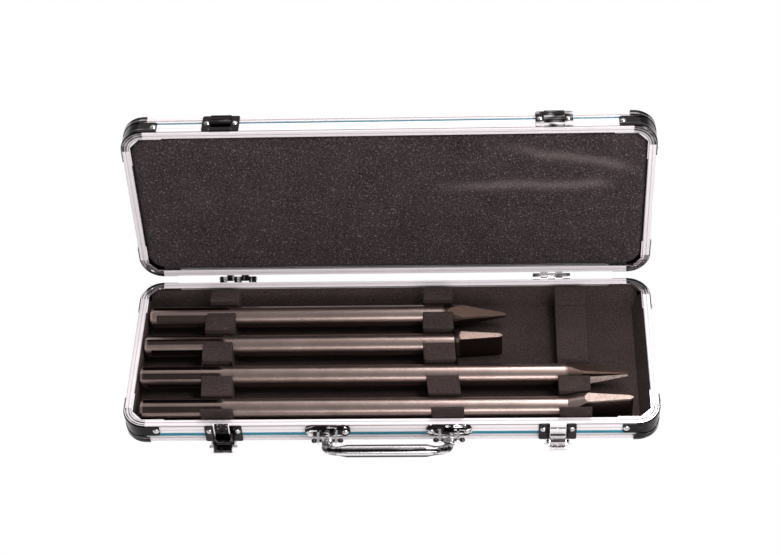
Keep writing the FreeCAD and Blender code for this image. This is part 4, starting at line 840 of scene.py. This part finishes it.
def pad_face():
    """Points of the pad's face in the lid's own plane, as X, Y and depth below the rim.

    A grid over a rectangle is rounded at the corners: a point at (u, v) in a corner's square
    keeps its direction, and its length becomes the larger of u and v. At a distance d from the
    edge the face falls by r - sqrt(r^2 - (r - d)^2). A dent is its depth times
    exp(-(x/a)^2 - (y/b)^2), and a ripple is laid over the whole.
    """
    across = np.linspace(-1.0, 1.0, PAD_COLUMNS) * PAD_HALF_X
    up = np.linspace(-1.0, 1.0, PAD_ROWS) * PAD_HALF_Y
    x, y = np.meshgrid(across, up, indexing="ij")
    inner_x, inner_y = PAD_HALF_X - PAD_CORNER, PAD_HALF_Y - PAD_CORNER
    over_x = np.maximum(np.abs(x) - inner_x, 0.0)
    over_y = np.maximum(np.abs(y) - inner_y, 0.0)
    reach = np.maximum(over_x, over_y) / (np.hypot(over_x, over_y) + 1e-12)
    scale = np.where((over_x > 0) & (over_y > 0), reach, 1.0)
    x = np.sign(x) * (np.minimum(np.abs(x), inner_x) + over_x * scale)
    y = np.sign(y) * (np.minimum(np.abs(y), inner_y) + over_y * scale)
    edge = PAD_CORNER - np.hypot(over_x * scale, over_y * scale)
    bend = np.maximum(PAD_ROUNDING - edge, 0.0)
    depth = PAD_FACE + PAD_ROUNDING - np.sqrt(np.maximum(PAD_ROUNDING**2 - bend**2, 0.0))
    for place, height, width in DENTS:
        fall = ((x - place) / width) ** 2 + ((y - height) / DENT_HEIGHT) ** 2
        depth += DENT_DEPTH * np.exp(-fall)
    face = np.stack([x, y, depth], axis=-1).reshape(-1, 3)
    face[:, 2] += ripple(face, 0.00025, 0.03, 21)
    return face


def closed_grid(columns, rows):
    """Quads of a grid of points, of a second grid behind it, and of the wall round both."""
    count = columns * rows
    index = np.arange(count).reshape(columns, rows)
    corners = [index[:-1, :-1], index[1:, :-1], index[1:, 1:], index[:-1, 1:]]
    quads = np.stack(corners, axis=-1).reshape(-1, 4)
    border = np.concatenate([index[:-1, 0], index[-1, :-1], index[:0:-1, -1], index[0, :0:-1]])
    nearby = np.roll(border, -1)
    sides = np.stack([border, nearby, nearby + count, border + count], axis=1)
    return np.concatenate([quads, quads[:, ::-1] + count, sides])


def lid_pad():
    """Thick pad of foam that fills the lid, softly rounded at its edges and faintly dented.

    The face and a flat back are laid out from the lid's outer face: a point at Y and a depth
    below the rim comes to tray + Y * LID_UP + (LID_DEPTH - depth) * LID_IN.
    """
    tray = box_centre("lid_foam") - FOAM_MIDDLE * LID_IN
    face = pad_face()
    back = face.copy()
    back[:, 2] = PAD_BACK
    flat = np.concatenate([face, back])
    rise = LID_DEPTH - flat[:, 2]
    points = np.empty_like(flat)
    points[:, 0] = flat[:, 0]
    points[:, 1] = tray.y + flat[:, 1] * LID_UP.y + rise * LID_IN.y
    points[:, 2] = tray.z + flat[:, 1] * LID_UP.z + rise * LID_IN.z
    faces = closed_grid(PAD_COLUMNS, PAD_ROWS)
    piece = mesh_piece("lid_pad", points, faces.tolist(), lid_pad_foam, "lid")
    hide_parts("lid_foam")
    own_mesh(piece)


long_racks()
right_rack()
spacer_bar()
wall_foam()
lid_pad()

# ------------------------------------------------------------------ stage, light and camera

CENTRE = Vector((0.0, 0.0, 0.02))
WORLD_STRENGTH = 0.37
FLOOR_HALF, FLOOR_DROP = 4.0, 0.0006
CAMERA_PLACE, CAMERA_LENS, CAMERA_SENSOR = Vector((0.07463, -0.98854, 1.20714)), 86.61, 36.0


def lamp(name, degrees, distance, across, size, power):
    """A rectangular soft lamp that faces the case, at an angle above the front horizon.

    Past 90 degrees it lies to the back; across is its distance to the right.
    """
    light = bpy.data.lights.new(name, "AREA")
    light.shape = "RECTANGLE"
    light.size, light.size_y = size
    light.energy = power
    angle = math.radians(degrees)
    item = bpy.data.objects.new(name, light)
    item.location = CENTRE + Vector(
        (across, -distance * math.cos(angle), distance * math.sin(angle))
    )
    item.rotation_euler = (CENTRE - item.location).to_track_quat("-Z", "Y").to_euler()
    scene.collection.objects.link(item)


def stage():
    """A flat pale floor that stays white where it is seen directly."""
    signs = ((-1, -1), (1, -1), (1, 1), (-1, 1))
    corners = [(x * FLOOR_HALF, y * FLOOR_HALF, -FLOOR_DROP) for x, y in signs]
    mesh = bpy.data.meshes.new("floor")
    mesh.from_pydata(corners, [], [(0, 1, 2, 3)])
    floor = bpy.data.objects.new("floor", mesh)
    scene.collection.objects.link(floor)
    finish = Finish("pale_floor", Base_Color=(0.8, 0.8, 0.8), Roughness=0.8)
    path = finish.node("LightPath")
    seen = ("Is Camera Ray", "Is Glossy Ray", "Is Transmission Ray")
    camera_ray, glossy_ray, through_ray = (
        Value(finish, path.socket.node.outputs[ray]) for ray in seen
    )
    plain = Value(finish, finish.shader.outputs[0])
    glow = finish.node("Emission", (1.0, 1.0, 1.0), 1.0)
    blend = finish.node("MixShader", camera_ray + glossy_ray + through_ray, plain, glow)
    output = finish.tree.nodes["Material Output"]
    finish.tree.links.new(blend.socket, output.inputs["Surface"])
    mesh.materials.append(finish.material)


def white_world():
    """An even white surrounding light."""
    world = bpy.data.worlds.new("studio")
    scene.world = world
    world.use_nodes = True
    background = world.node_tree.nodes["Background"]
    background.inputs["Color"].default_value = (1.0, 1.0, 1.0, 1.0)
    background.inputs["Strength"].default_value = WORLD_STRENGTH


def camera():
    """Long-lens camera in front of and above the case, turned a little to its right."""
    level = math.cos(CAMERA_RISE)
    back = Vector(
        (math.sin(CAMERA_TURN) * level, -math.cos(CAMERA_TURN) * level, math.sin(CAMERA_RISE))
    )
    right = Vector((math.cos(CAMERA_TURN), math.sin(CAMERA_TURN), 0.0))
    up = back.cross(right)
    right_rolled = math.cos(CAMERA_ROLL) * right + math.sin(CAMERA_ROLL) * up
    up_rolled = -math.sin(CAMERA_ROLL) * right + math.cos(CAMERA_ROLL) * up
    data = bpy.data.cameras.new("camera")
    data.sensor_width = CAMERA_SENSOR
    data.lens = CAMERA_LENS
    item = bpy.data.objects.new("camera", data)
    basis = Matrix((right_rolled, up_rolled, back)).transposed().to_4x4()
    basis.translation = CAMERA_PLACE
    item.matrix_world = basis
    scene.collection.objects.link(item)
    scene.camera = item


stage()
white_world()
lamp("overhead", 98.5, 1.5, 0.5, (1.6, 0.4), 25.0)
lamp("low_front", 29.5, 1.5, 0.62, (1.6, 0.34), 14.0)
lamp("back_panel", 136.0, 1.8, 0.0, (2.6, 1.0), 8.0)
camera()
